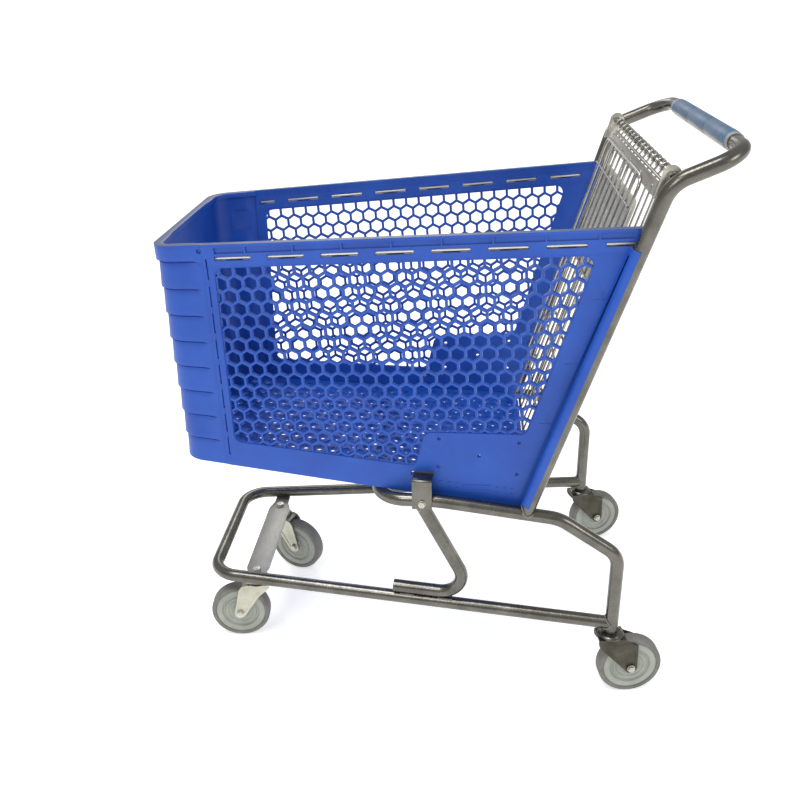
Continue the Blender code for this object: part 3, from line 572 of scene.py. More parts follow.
def hexagon_tree():
    """Cuts staggered rows of hexagons out of a wall, inside the space of a field object."""
    tree = new_tree("honeycomb")
    keys = {
        "field": group_input(tree, "field", "NodeSocketObject"),
        "pitch": group_input(tree, "cell pitch", "NodeSocketFloat", 0.027),
        "web": group_input(tree, "web width", "NodeSocketFloat", 0.0046),
        "across": group_input(tree, "cells across", "NodeSocketInt", 29),
        "rows": group_input(tree, "rows", "NodeSocketInt", 21),
        "depth": group_input(tree, "cut depth", "NodeSocketFloat", 0.04),
        "shift": group_input(tree, "shift", "NodeSocketVector"),
        "finish": group_input(tree, "finish", "NodeSocketMaterial"),
    }
    add = tree.nodes.new
    link = tree.links.new

    def maths(kind, first, second):
        """Output of one sum on two sockets or numbers."""
        step = add("ShaderNodeMath")
        step.operation = kind
        for slot, value in zip(step.inputs, (first, second)):
            if isinstance(value, (int, float)):
                slot.default_value = value
            else:
                link(value, slot)
        return step.outputs["Value"]

    source = add("NodeGroupInput")
    result = add("NodeGroupOutput")
    pitch = source.outputs["cell pitch"]
    rows = source.outputs["rows"]
    step_up = maths("MULTIPLY", pitch, math.sqrt(3.0) / 2.0)
    grid = add("GeometryNodeMeshGrid")
    link(source.outputs["cells across"], grid.inputs["Vertices X"])
    link(rows, grid.inputs["Vertices Y"])
    gaps_across = maths("SUBTRACT", source.outputs["cells across"], 1.0)
    link(maths("MULTIPLY", pitch, gaps_across), grid.inputs["Size X"])
    link(maths("MULTIPLY", step_up, maths("SUBTRACT", rows, 1.0)), grid.inputs["Size Y"])
    number = add("GeometryNodeInputIndex")
    row = maths("MODULO", number.outputs["Index"], rows)
    odd = maths("MODULO", row, 2.0)
    offset = add("ShaderNodeCombineXYZ")
    link(maths("MULTIPLY", odd, maths("MULTIPLY", pitch, 0.5)), offset.inputs["X"])
    both = add("ShaderNodeVectorMath")
    both.operation = "ADD"
    link(offset.outputs["Vector"], both.inputs[0])
    link(source.outputs["shift"], both.inputs[1])
    stagger = add("GeometryNodeSetPosition")
    link(grid.outputs["Mesh"], stagger.inputs["Geometry"])
    link(both.outputs["Vector"], stagger.inputs["Offset"])
    punch = add("GeometryNodeMeshCone")
    punch.inputs["Vertices"].default_value = 6
    clear = maths("DIVIDE", maths("SUBTRACT", pitch, source.outputs["web width"]), math.sqrt(3.0))
    link(maths("ADD", clear, 0.0025), punch.inputs["Radius Top"])
    link(maths("SUBTRACT", clear, 0.0025), punch.inputs["Radius Bottom"])
    link(source.outputs["cut depth"], punch.inputs["Depth"])
    centre = add("GeometryNodeTransform")
    lift = add("ShaderNodeCombineXYZ")
    link(maths("MULTIPLY", source.outputs["cut depth"], -0.5), lift.inputs["Z"])
    link(punch.outputs["Mesh"], centre.inputs["Geometry"])
    link(lift.outputs["Vector"], centre.inputs["Translation"])
    centre.inputs["Rotation"].default_value = (0.0, 0.0, math.radians(30.0))
    cells = add("GeometryNodeInstanceOnPoints")
    link(stagger.outputs["Geometry"], cells.inputs["Points"])
    link(centre.outputs["Geometry"], cells.inputs["Instance"])
    real = add("GeometryNodeRealizeInstances")
    link(cells.outputs["Instances"], real.inputs["Geometry"])
    bound = add("GeometryNodeObjectInfo")
    link(source.outputs["field"], bound.inputs["Object"])
    inside = add("GeometryNodeMeshBoolean")
    inside.operation = "INTERSECT"
    inside.solver = "MANIFOLD"
    link(real.outputs["Geometry"], inside.inputs["Mesh 2"])
    link(bound.outputs["Geometry"], inside.inputs["Mesh 2"])
    cut = add("GeometryNodeMeshBoolean")
    cut.operation = "DIFFERENCE"
    cut.solver = "MANIFOLD"
    link(source.outputs["Geometry"], cut.inputs["Mesh 1"])
    link(inside.outputs["Mesh"], cut.inputs["Mesh 2"])
    flat = add("GeometryNodeRealizeInstances")
    coat = add("GeometryNodeSetMaterial")
    link(cut.outputs["Mesh"], flat.inputs["Geometry"])
    link(flat.outputs["Geometry"], coat.inputs["Geometry"])
    link(source.outputs["finish"], coat.inputs["Material"])
    link(coat.outputs["Geometry"], result.inputs["Geometry"])
    return tree, keys


def plate_mesh(loops, low, high, matrix=None):
    """Flat plate from an outline and any holes in XY, between two heights."""
    data = bpy.data.curves.new("plate", "CURVE")
    data.dimensions = "2D"
    data.fill_mode = "BOTH"
    data.extrude = (high - low) / 2.0
    for loop in loops:
        line = data.splines.new("POLY")
        line.points.add(len(loop) - 1)
        for spot, point in zip(line.points, loop):
            spot.co = (point[0], point[1], 0.0, 1.0)
        line.use_cyclic_u = True
    item = shown(data)
    item.matrix_world = Matrix.Translation((0.0, 0.0, (low + high) / 2.0))
    mesh = evaluated_mesh(item)
    if matrix is not None:
        mesh.transform(matrix)
    return mesh


def rounded(corners, radius, step=math.radians(12.0)):
    """Closed outline with every corner rounded."""
    looped = [(*corners[-1], 0.0)] + [(*c, 0.0) for c in corners] + [(*corners[0], 0.0)]
    path = bent_path(looped, [radius] * len(corners), step)
    return [(p.x, p.y) for p in path[1:-1]]


def block(x0, x1, y0, y1, z0, z1):
    """Box mesh between two corners."""
    mesh = bpy.data.meshes.new("block")
    form = bmesh.new()
    bmesh.ops.create_cube(form, size=1.0)
    bmesh.ops.scale(form, vec=(x1 - x0, y1 - y0, z1 - z0), verts=form.verts)
    bmesh.ops.translate(form, vec=((x0 + x1) / 2.0, (y0 + y1) / 2.0, (z0 + z1) / 2.0), verts=form.verts)
    form.to_mesh(mesh)
    form.free()
    return mesh


def worked(mesh, steps, bevel=0.0, segments=2, crease=35.0):
    """Mesh after boolean steps, each a (what, mesh) pair, with an optional bevel at the end."""
    item = shown(mesh)
    helpers = []
    for what, other in steps:
        helper = shown(other)
        helpers.append(helper)
        step = item.modifiers.new("step", "BOOLEAN")
        step.operation = what
        step.solver = "EXACT"
        step.use_self = True
        step.object = helper
    if bevel:
        edge = item.modifiers.new("edge", "BEVEL")
        edge.width = bevel
        edge.segments = segments
        edge.limit_method = "ANGLE"
        edge.angle_limit = math.radians(crease)
        edge.use_clamp_overlap = True
    made = evaluated_mesh(item)
    for helper in helpers:
        bpy.data.objects.remove(helper, do_unlink=True)
    return made


def arc_points(x, y, radius, degrees):
    """Points about a centre at the given angles."""
    turns = [math.radians(a) for a in degrees]
    return [(x + radius * math.cos(a), y + radius * math.sin(a)) for a in turns]


def ring_points(x, y, radius, steps):
    """Corners of an even ring about a point."""
    return arc_points(x, y, radius, [360.0 * i / steps for i in range(steps)])


def cylinder_mesh(x, y, radius, low, high, steps=20):
    """Upright cylinder between two heights."""
    return plate_mesh([ring_points(x, y, radius, steps)], low, high)


BLUE = blue_with_wear_and_highlight("blue_plastic")
SEAM_X = -0.394
ROD_PITCH = 0.0935
HALF_WIDTH, WALL_Z = 0.2478, 0.8915          # the wall's own origin, on the rods' line
SIDE_FLARE = 0.0866              # wider towards the post
SIDE_LEAN = 0.0367               # wider towards the rim
wall_ahead = Vector((1.0, -0.0890, 0.0644)).normalized()
wall_out = wall_ahead.cross(Vector((0.0, -SIDE_LEAN, 1.0))).normalized()
wall_up = wall_out.cross(wall_ahead)
WALL = Matrix.Translation((0.0, -HALF_WIDTH, WALL_Z))
WALL = WALL @ Matrix((wall_ahead, wall_up, wall_out)).transposed().to_4x4()
FLIP = Matrix.Diagonal((1.0, -1.0, 1.0, 1.0))


def rim_z(x):
    """Height of the basket's top edge."""
    return 0.9165 + 0.063 * x


def keel_z(x):
    """Height of the basket's lower edge."""
    return 0.4174 - 0.1 * x


def side_y(x, z):
    """Half width of the basket at the middle of its side wall."""
    return HALF_WIDTH + SIDE_FLARE * x - SIDE_LEAN * (WALL_Z - z)


def on_wall(x, z):
    """Where a point at this X and height falls in the left wall's own frame."""
    spot = WALL.inverted() @ Vector((x, -side_y(x, z), z))
    return (spot.x, spot.y)


def wall_outline(inset=0.0):
    """Left wall, seen from outside, from the front seam to the post."""
    seam = SEAM_X + 0.0004
    rear_top, rear_low = 0.9385, 0.3995
    back = 0.001
    head = post_at(rear_top).x - back
    foot = post_at(rear_low).x - back
    return [
        on_wall(seam, keel_z(seam) + inset), on_wall(foot, keel_z(foot) + inset),
        on_wall(head, rim_z(head)), on_wall(seam, rim_z(seam)),
    ]


def hook_mesh():
    """Rear edge of the left wall, rounded to lap the front of the post."""
    low, high = 0.4205, 0.9045
    foot = post_at(low) * Vector((1.0, -1.0, 1.0))
    head = post_at(high) * Vector((1.0, -1.0, 1.0))
    along = (head - foot).normalized()
    across = along.cross(Vector((-1.0, 0.0, 0.0))).normalized()
    ahead = across.cross(along)
    inner = TUBE_R + 0.0004
    outer = inner + 0.0030
    root = -0.022
    outside = arc_points(0.0, 0.0, outer, range(0, 81, 10))
    inside = arc_points(0.0, 0.0, inner, range(80, -1, -10))
    loop = [(outer, root)] + outside + inside + [(inner, root)]
    turn = Matrix((ahead, across, along)).transposed().to_4x4()
    spot = Matrix.Translation((foot + head) / 2.0) @ turn
    half = (head - foot).length / 2.0
    return plate_mesh([loop], -half, half, WALL.inverted() @ spot)


def field_outline(grow=0.0):
    """Honeycomb field: straight in front, stepped over the placard, slanted behind."""
    g = grow
    corners = [
        on_wall(-0.375 - g, 0.508 - g), on_wall(-0.030 + g, 0.478 - g), on_wall(-0.012 + g, 0.551 - g),
        on_wall(0.168 + g, 0.557 - g), on_wall(0.268 + g, 0.891 + g), on_wall(-0.375 - g, 0.851 + g),
    ]
    return rounded(corners, 0.016)


def rod_windows():
    """Boxes for the windows: from outside at every pitch, from inside half way between."""
    first, tall, reach, past_middle = -0.43533, 0.0040, 0.030, 0.0037
    front_stop, rear_stop = -0.388, 0.3285
    half_long = 0.345 * ROD_PITCH
    blocks = []
    for offset, low, high in ((0.0, -past_middle, reach), (0.5, -reach, past_middle)):
        for i in range(1, 9):
            middle = first + ROD_PITCH * (i - offset)
            start = max(middle - half_long, front_stop)
            end = min(middle + half_long, rear_stop)
            blocks.append((start, end, low, high, tall))
    return blocks


OUT = 0.0045                     # outer face of the sheet, in the wall's frame
RIM = 0.0060                     # outer face of the rim
PAST = 0.02                      # how far a cutter runs past the face it starts from
sheet = plate_mesh([wall_outline()], -OUT, OUT)
rim_corner = wall_outline()
rim_low = -0.014
seam_lean = 0.0646               # along the wall for each unit up it
rim_front = rim_corner[3][0] - seam_lean * (rim_corner[3][1] - rim_low)
rim_shape = [(rim_front, rim_low), (rim_corner[2][0] - 0.0175, rim_low), rim_corner[2], rim_corner[3]]
rim_band = plate_mesh([rim_shape], -RIM, RIM)
channel_cuts = []
divider_pitch = 0.0840
first_divider = -0.3178
half_divider = 0.0014
top_v, low_v = 0.0196, 0.0086
divider_row = [first_divider + divider_pitch * k for k in range(8)]
edges = [first_divider - 0.056] + divider_row + [0.3230]
for left, right in zip(edges, edges[1:]):
    span = (left + half_divider, right - half_divider, low_v, top_v)
    channel_cuts.append(block(*span, RIM - 0.0030, RIM + PAST))
    channel_cuts.append(block(*span, -RIM - PAST, 0.0012 - RIM))
for start, end, low, high, tall in rod_windows():
    channel_cuts.append(block(start, end, -tall, tall, low, high))

lip_top, lip_low = on_wall(0.312, 0.898), on_wall(0.188, 0.507)
lip_foot = on_wall(0.160, 0.420)
post_line = [on_wall(post_at(z).x + 0.02, z) for z in (0.420, 0.900)]
lip_loop = [lip_foot, *post_line, lip_top, lip_low]
lip_cut = plate_mesh([lip_loop], OUT - 0.0014, OUT + PAST)
face_cuts = []
pocket_out = plate_mesh([field_outline()], OUT - 0.0018, OUT + PAST)
pocket_in = plate_mesh([field_outline()], -OUT - PAST, 0.0006 - OUT)
screw_hole_r = 0.0036
for x, z in ((0.012, 0.539), (0.156, 0.540), (0.085, 0.508), (0.011, 0.480), (0.154, 0.474)):
    u, v = on_wall(x, z)
    face_cuts.append(cylinder_mesh(u, v, screw_hole_r, -PAST, PAST))
slot_u, slot_v = on_wall(-0.0170, 0.4645)
clip_slot = (slot_u - 0.0225, slot_u + 0.0225, slot_v - 0.0042, slot_v + 0.0042)
face_cuts.append(block(*clip_slot, -PAST, PAST))
for k in range(8):
    z = 0.848 - 0.050 * k
    groove = [on_wall(SEAM_X + 0.0070 + a, z + b) for a, b in (
        (-0.0013, -0.019), (0.0013, -0.019), (0.0013, 0.019), (-0.0013, 0.019))]
    face_cuts.append(plate_mesh([groove], OUT - 0.0030, OUT + PAST))

ticks = []
for x, z in ((0.277, 0.825), (0.239, 0.708), (0.201, 0.591)):
    u, v = on_wall(x, z)
    ticks.append(block(u - 0.0009, u + 0.0009, v - 0.0085, v + 0.0085, OUT - 0.002, OUT + 0.0010))
    ticks.append(block(u - 0.0120, u + 0.0100, v - 0.0100, v - 0.0082, OUT - 0.002, OUT + 0.0010))
for z in (0.4445, 0.4335):
    u, v = on_wall(0.0825, z)
    ticks.append(block(u - 0.0265, u + 0.0265, v - 0.0014, v + 0.0014, OUT - 0.002, OUT + 0.0014))
    for x in (0.0155, 0.0305, 0.0445, 0.1195, 0.1335, 0.1465):
        u, v = on_wall(x, z + (0.0825 - x) * 0.06)
        ticks.append(block(u - 0.0030, u + 0.0030, v - 0.0022, v + 0.0022, OUT - 0.002, OUT + 0.0014))
raised = joined(ticks)
wall = worked(sheet, [
    ("UNION", rim_band), ("UNION", hook_mesh()), ("DIFFERENCE", joined(channel_cuts)),
    ("DIFFERENCE", lip_cut), ("DIFFERENCE", joined(face_cuts)), ("DIFFERENCE", pocket_out),
    ("DIFFERENCE", pocket_in), ("UNION", raised),
], bevel=0.0007)
honeycomb, comb_keys = hexagon_tree()
field_guide = shown(plate_mesh([field_outline(-0.0012)], -0.03, 0.03), "field_guide")
middle_u, middle_v = on_wall(-0.075, 0.675)
wall = run_tree(wall, honeycomb, {
    comb_keys["field"]: field_guide, comb_keys["shift"]: (middle_u, middle_v, 0.0),
    comb_keys["finish"]: BLUE})
bpy.data.objects.remove(field_guide, do_unlink=True)
for tag, spot in (("left", WALL), ("right", FLIP @ WALL)):
    make_piece(
        "basket_wall_" + tag, placed(wall, spot), BLUE, "frame", ["basket_side_" + tag],
        crease=20.0)


# ---- Basket nose and floor ---------------------------------------------------
# One moulded piece wraps the nose and both front corners, with shallow steps down
# each corner. The sloping floor is a honeycomb plate between the walls.
FRONT_WALL = 0.005
LIP_WALL = 0.012                 # the rolled lip along the rim
NOSE_X = -0.4898
COURSES = 8                      # steps down the corners
RIM_LEVEL = 0.93                 # where the courses end and the plain rim begins
ROWS_PER_COURSE = 5
STEP_DEPTH = 0.0036
GROOVE_DEPTH = 0.0020            # shadow line under each step


def nose_section(level):
    """Outer line round the nose at a level from 0, the keel, to 1, the rim."""
    def at(x, flip):
        """Point of the outer line at this X on one side."""
        z = keel_z(x) + level * (rim_z(x) - keel_z(x))
        return (x, flip * (side_y(x, z) + OUT - 0.0002), 0.0)
    nose = NOSE_X + 0.008 * (1.0 - level) + 0.0015
    seam = SEAM_X + 0.0003
    line = bent_path([at(seam, -1.0), at(nose, -1.0), at(nose, 1.0), at(seam, 1.0)], [0.040, 0.040])
    dense = []
    for first, second in zip(line, line[1:]):
        length = (second - first).length
        parts = 1 if length < 0.02 else 30 if length > 0.2 else 6
        dense += [first.lerp(second, i / parts) for i in range(parts)]
    dense.append(line[-1])
    return [(p.x, p.y, keel_z(p.x) + level * (rim_z(p.x) - keel_z(p.x))) for p in dense]


def corner_share(x, y):
    """1 on the front corners, 0 on the middle of the nose and beside the seams."""
    from_middle = (abs(y) - 0.110) / 0.035
    from_seam = (-0.403 - x) / 0.012
    return min(1.0, max(0.0, from_middle)) * min(1.0, max(0.0, from_seam))


def corner_step(x, y, level):
    """How far the corner stands back: each course of it flares out again towards its foot."""
    if level > RIM_LEVEL or level < 0.001:
        return 0.0
    within = (1.0 - level / RIM_LEVEL) * COURSES % 1.0
    groove = GROOVE_DEPTH if within < 0.036 else 0.0
    return corner_share(x, y) * (STEP_DEPTH * (1.0 - within) ** 0.8 + groove)


levels = [0.0, 0.002]
course_tall = RIM_LEVEL / COURSES
for course in range(COURSES):
    start = course * course_tall
    for k in range(ROWS_PER_COURSE):
        levels.append(start + 0.0030 + (course_tall - 0.0075) * k / (ROWS_PER_COURSE - 1.0))
    levels += [start + course_tall - 0.0040, start + course_tall - 0.0005]
levels = sorted(set(round(v, 5) for v in levels)) + [0.935, 0.96, 0.974, 0.978, 1.0]


def nose_shell(rows):
    """Closed shell round the nose between levels: stepped outside at the corners, smooth inside."""
    mesh = bpy.data.meshes.new("nose")
    form = bmesh.new()
    outside = []
    inside = []
    for level in rows:
        line = [Vector(point) for point in nose_section(level)]
        outer_row = []
        inner_row = []
        for i, point in enumerate(line):
            run = line[min(i + 1, len(line) - 1)] - line[max(i - 1, 0)]
            inward = Vector((run.y, -run.x, 0.0)).normalized()
            proud = 0.0014 if level > RIM_LEVEL else 0.0
            step = 0.0004 + corner_step(point.x, point.y, level) - proud
            thickness = LIP_WALL if level > 0.975 else FRONT_WALL
            wall_inside = thickness + STEP_DEPTH * corner_share(point.x, point.y)
            outer_row.append(form.verts.new(point + inward * step))
            inner_row.append(form.verts.new(point + inward * wall_inside))
        outside.append(outer_row)
        inside.append(inner_row)
    last = len(outside[0]) - 1
    for grid in (outside, inside):
        for lower, upper in zip(grid, grid[1:]):
            for i in range(last):
                form.faces.new((lower[i], lower[i + 1], upper[i + 1], upper[i]))
    for k in (0, len(rows) - 1):
        for i in range(last):
            form.faces.new((outside[k][i], outside[k][i + 1], inside[k][i + 1], inside[k][i]))
    for i in (0, last):
        for k in range(len(rows) - 1):
            form.faces.new((outside[k][i], outside[k + 1][i], inside[k + 1][i], inside[k][i]))
    bmesh.ops.triangulate(form, faces=form.faces)
    form.to_mesh(mesh)
    form.free()
    return evaluated_mesh(shown(mesh))


nose_mesh = nose_shell(levels)
peg_hole_r, peg_x, peg_y, peg_z = 0.0046, -0.3990, 0.2340, 0.8800
peg_holes = []
for side in (-1.0, 1.0):
    hole = cylinder_mesh(0.0, 0.0, peg_hole_r, -PAST, PAST)
    peg_spot = Matrix.Translation((peg_x, side * peg_y, peg_z))
    hole.transform(peg_spot @ Matrix.Rotation(math.pi / 2, 4, "X"))
    peg_holes.append(hole)
recess = block(-0.0215, 0.0215, -PAST, -0.0012, -0.020, 0.020)
recess_x, recess_z = -0.4235, 0.830
recess_spot = Matrix.Translation((recess_x, side_y(recess_x, recess_z) + OUT - FRONT_WALL, recess_z))
recess.transform(recess_spot @ Matrix.Rotation(math.atan(SIDE_FLARE), 4, "Z"))
nose_mesh = worked(nose_mesh, [
    ("DIFFERENCE", joined(peg_holes)), ("DIFFERENCE", joined([recess, placed(recess, FLIP)]))],
    bevel=0.0008, crease=50.0)
make_piece("basket_nose", nose_mesh, BLUE, "frame", ["basket_front"], crease=25.0)

# Knuckles along the seam: short barrels that hook the wall to the nose.
knuckle_top = [(0.0, 0.0062), (0.0016, 0.0062), (0.0023, 0.0054)]
knuckle = turned_mesh(knuckle_top + [(r, -h) for r, h in knuckle_top[::-1]], 16)


def row_tree():
    """Copies of a piece at each point of the mesh, all turned alike."""
    tree = new_tree("row_of_pieces")
    keys = {
        "piece": group_input(tree, "piece", "NodeSocketObject"),
        "turn": group_input(tree, "turn", "NodeSocketRotation"),
        "finish": group_input(tree, "finish", "NodeSocketMaterial"),
    }
    source = tree.nodes.new("NodeGroupInput")
    result = tree.nodes.new("NodeGroupOutput")
    piece = tree.nodes.new("GeometryNodeObjectInfo")
    copies = tree.nodes.new("GeometryNodeInstanceOnPoints")
    real = tree.nodes.new("GeometryNodeRealizeInstances")
    coat = tree.nodes.new("GeometryNodeSetMaterial")
    link = tree.links.new
    link(source.outputs["piece"], piece.inputs["Object"])
    link(source.outputs["Geometry"], copies.inputs["Points"])
    link(piece.outputs["Geometry"], copies.inputs["Instance"])
    link(source.outputs["turn"], copies.inputs["Rotation"])
    link(copies.outputs["Instances"], real.inputs["Geometry"])
    link(real.outputs["Geometry"], coat.inputs["Geometry"])
    link(source.outputs["finish"], coat.inputs["Material"])
    link(coat.outputs["Geometry"], result.inputs["Geometry"])
    return tree, keys


ROW, row_keys = row_tree()


def row_mesh(piece_mesh, spots, turn, made_of):
    """One mesh of a piece repeated at the spots."""
    points = bpy.data.meshes.new("spots")
    points.from_pydata([tuple(p) for p in spots], [], [])
    guide = shown(piece_mesh, "row_guide")
    made = run_tree(points, ROW, {
        row_keys["piece"]: guide, row_keys["turn"]: tuple(turn), row_keys["finish"]: made_of})
    bpy.data.objects.remove(guide, do_unlink=True)
    return made


knuckle_spots = []
for side in (-1.0, 1.0):
    for k in range(9):
        z = 0.873 - 0.050 * k
        knuckle_spots.append((SEAM_X + 0.0058, side * (side_y(SEAM_X, z) + OUT - 0.0006), z))
knuckles = row_mesh(knuckle, knuckle_spots, (0.0, 0.0, 0.0), BLUE)
make_piece("seam_knuckles", knuckles, BLUE, "frame")

floor_thick = 0.011
floor_x = -0.15
floor_turn = Matrix.Rotation(math.atan(0.1), 4, "Y")
FLOOR = Matrix.Translation((floor_x, 0.0, keel_z(floor_x) + 0.0065)) @ floor_turn


def floor_outline(inset):
    """Floor between the walls, in its own plane, with rounded corners."""
    front, rear = -0.4735 + inset, 0.1790 - inset
    half = [(x, side_y(x, keel_z(x)) - OUT - 0.0012 - inset) for x in (front, rear)]
    half[0] = (half[0][0], half[0][1] - 0.003)
    corners = [(x, -y) for x, y in half] + half[::-1]
    return rounded([((x - floor_x) / math.cos(math.atan(0.1)), y) for x, y in corners], 0.040 - inset * 0.6)


floor_plate = plate_mesh([floor_outline(0.0)], -floor_thick / 2.0, floor_thick / 2.0)
inner_line = floor_outline(0.016)
sunk_above = plate_mesh([inner_line], 0.0042, PAST)
sunk_below = plate_mesh([inner_line], -PAST, -0.0046)
floor_plate = worked(
    floor_plate, [("DIFFERENCE", sunk_above), ("DIFFERENCE", sunk_below)], bevel=0.0005)
floor_guide = shown(plate_mesh([floor_outline(0.0172)], -0.02, 0.02), "floor_guide")
floor_plate = run_tree(floor_plate, honeycomb, {
    comb_keys["field"]: floor_guide, comb_keys["across"]: 29, comb_keys["rows"]: 23,
    comb_keys["web"]: 0.0090, comb_keys["shift"]: (0.0, 0.0, 0.0), comb_keys["finish"]: BLUE})
bpy.data.objects.remove(floor_guide, do_unlink=True)
make_piece("basket_floor_mesh", placed(floor_plate, FLOOR), BLUE, "frame", ["basket_floor"])


# ---- Rim rods, clips and their bolts -----------------------------------------
# Bright drawn rods threaded through the rims, and the bent straps that hook into
# the walls and are bolted to the upper rail.
BRIGHT = mottled_finish(
    "bright_wire", (0.29, 0.28, 0.25), (0.46, 0.45, 0.41), 30.0, (0.16, 0.34), 1.0, 0.0001)
ZINC = mottled_finish(
    "zinc_plate", (0.46, 0.45, 0.38), (0.62, 0.61, 0.53), 26.0, (0.26, 0.46), 0.85, 0.0002)
ROD_STEEL = mottled_finish(
    "rod_steel", (0.72, 0.71, 0.67), (0.86, 0.85, 0.80), 30.0, (0.22, 0.40), 0.7, 0.0001)
rod_line = [Vector((a, 0.0, 0.0)) for a in (-0.3866, 0.3270)]
rod_radius = 0.0031
for tag, spot in (("left", WALL), ("right", FLIP @ WALL)):
    rod_mesh = tube_mesh(rod_line, rod_radius, around=6)
    tipped = worked(rod_mesh, [], bevel=0.0008, crease=50.0)
    make_piece(
        "rim_rod_bar_" + tag, placed(tipped, spot), ROD_STEEL, "frame", ["rim_rod_" + tag])

WEB, FOOT_Z, HEAD_Z, TONGUE, CLIP_HALF = 0.0030, 0.4050, 0.4660, 0.0350, 0.0185
CLIP_BOLT_Z = 0.4165
bend_r = 0.0042
fold_at = (WEB - bend_r, HEAD_Z - bend_r)
outer_fold = arc_points(*fold_at, bend_r, range(0, 91, 15))
inner_fold = arc_points(*fold_at, bend_r - WEB, range(90, -1, -15))
clip_foot = [(0.0, FOOT_Z), (WEB, FOOT_Z)]
clip_tongue = [(-TONGUE, HEAD_Z), (-TONGUE, HEAD_Z - WEB)]
clip_shape = clip_foot + outer_fold + clip_tongue + inner_fold


def bolt_mesh(across, tall, washer, thread, steps=28):
    """Hexagon head with a chamfered crown, its washer and the end of its thread, along Z."""
    head = plate_mesh([ring_points(0.0, 0.0, across, 6)], 0.0, tall)
    crown = turned_mesh([
        (0.0, tall + 0.02), (0.03, tall + 0.02), (0.03, tall - 0.0035), (across * 0.84, tall - 0.00002),
        (0.0, tall - 0.00002)], steps)
    head = worked(head, [("DIFFERENCE", crown)], bevel=0.0003)
    flat = turned_mesh([
        (0.0, 0.0004), (washer - 0.0004, 0.0004), (washer, 0.0), (washer, -0.0010), (0.0, -0.0010)], steps)
    end = turned_mesh([
        (0.0, tall + thread), (0.0018, tall + thread), (0.0026, tall + thread - 0.0008),
        (0.0026, tall - 0.001), (0.0, tall - 0.001)], 16)
    return joined([head, flat, end])


clip_form = plate_mesh([clip_shape], -CLIP_HALF, CLIP_HALF)
clip_form = worked(clip_form, [], bevel=0.0006, crease=30.0)
clip_bolt = bolt_mesh(0.0066, 0.0042, 0.0072, 0.0010)
stand_up = Matrix(((0, 0, 1, 0), (1, 0, 0, 0), (0, 1, 0, 0), (0, 0, 0, 1)))
for tag, side in (("left", -1.0), ("right", 1.0)):
    spot = Matrix.Translation((-0.0185, side * 0.2645, 0.0))
    spot = spot @ Matrix.Rotation(side * math.radians(4.5), 4, "Z") @ Matrix.Diagonal((1.0, side, 1.0, 1.0))
    make_piece(
        "clip_strap_" + tag, placed(clip_form, spot @ stand_up), SATIN_STEEL, "frame",
        ["basket_clip_" + tag])
    bolt_spot = spot @ Matrix.Translation((0.0, WEB + 0.0006, CLIP_BOLT_Z))
    bolt_spot = bolt_spot @ Matrix.Rotation(-math.pi / 2.0, 4, "X")
    make_piece(
        "clip_screw_" + tag, placed(clip_bolt, bolt_spot), ZINC, "frame",
        ["clip_bolt_" + tag])


# ---- Cross plate and gate lugs -----------------------------------------------
# Flat steel plate across the nose for the front casters, and a rounded lug on the
# inside of each post that holds the gate's rod.
FRONT_STEM = (-0.379, 0.131)
PLATE_TOP = 0.1593
SHEET = 0.004
plate_half = [(0.024, 0.120), (0.016, 0.146), (0.016, 0.174)]
rear_edge = [(FRONT_STEM[0] + w, v) for w, v in plate_half]
front_edge = [(FRONT_STEM[0] - w, v) for w, v in plate_half[::-1]]
plate_loop = rear_edge + front_edge
plate_loop += [(u, -v) for u, v in plate_loop[::-1]]
cross_plate = plate_mesh([rounded(plate_loop, 0.004)], PLATE_TOP - SHEET, PLATE_TOP)
cross_plate = worked(cross_plate, [], bevel=0.0007)
PLATE_GREY = mottled_finish(
    "plate_grey", (0.30, 0.295, 0.27), (0.42, 0.41, 0.37), 14.0, (0.34, 0.56), 0.75, 0.0002,
    (1.0, 0.35, 1.0))
make_piece("cross_plate", cross_plate, PLATE_GREY, "frame", ["caster_plate"])

HINGE = (0.366, 1.020)
LUG_FOOT = 0.985
UPRIGHT = Matrix.Rotation(math.pi / 2.0, 4, "X")
lug_loop = arc_points(*HINGE, 0.0145, range(0, 181, 12))
lug_foot = post_at(LUG_FOOT).x
lug_loop += [(lug_foot - 0.013, LUG_FOOT), (lug_foot + 0.012, LUG_FOOT)]
lug_eye = ring_points(*HINGE, 0.0053, 24)
lug_form = plate_mesh([lug_loop, lug_eye], -SHEET / 2.0, SHEET / 2.0)
lug_form = worked(lug_form, [], bevel=0.0005)
for tag, side in (("left", -1.0), ("right", 1.0)):
    spot = Matrix.Translation((0.0, side * 0.2858, 0.0)) @ UPRIGHT
    make_piece("gate_ear_" + tag, placed(lug_form, spot), ZINC, "frame", ["gate_lug_" + tag])
hinge_bar = tube_mesh([(HINGE[0], y, HINGE[1]) for y in (-0.2876, 0.2876)], 0.005, around=8)
hinge_bar = worked(hinge_bar, [], bevel=0.0008, crease=50.0)
make_piece("gate_hinge_bar", hinge_bar, BRIGHT, "frame", ["gate_rod"])


# ---- Wire gate ---------------------------------------------------------------
# Welded wire gate: a bent frame, upright wires that hook over the hinge bar,
# cross wires behind them, and a riveted strip of flat steel along its head.
GATE = Matrix.Translation((HINGE[0], 0.0, HINGE[1])) @ Matrix.Rotation(math.atan(0.312), 4, "Y")
GATE_TOP, GATE_LOW, SHOULDER, GATE_HALF = -0.018, -0.620, -0.13, 0.256
WIRE_PITCH = 0.036
FRAME_R, UPRIGHT_R = 0.0030, 0.0021


def gate_half(z):
    """The gate narrows downwards, so that it clears the basket as it swings in."""
    return GATE_HALF if z > SHOULDER else GATE_HALF + 0.10 * (z - SHOULDER)


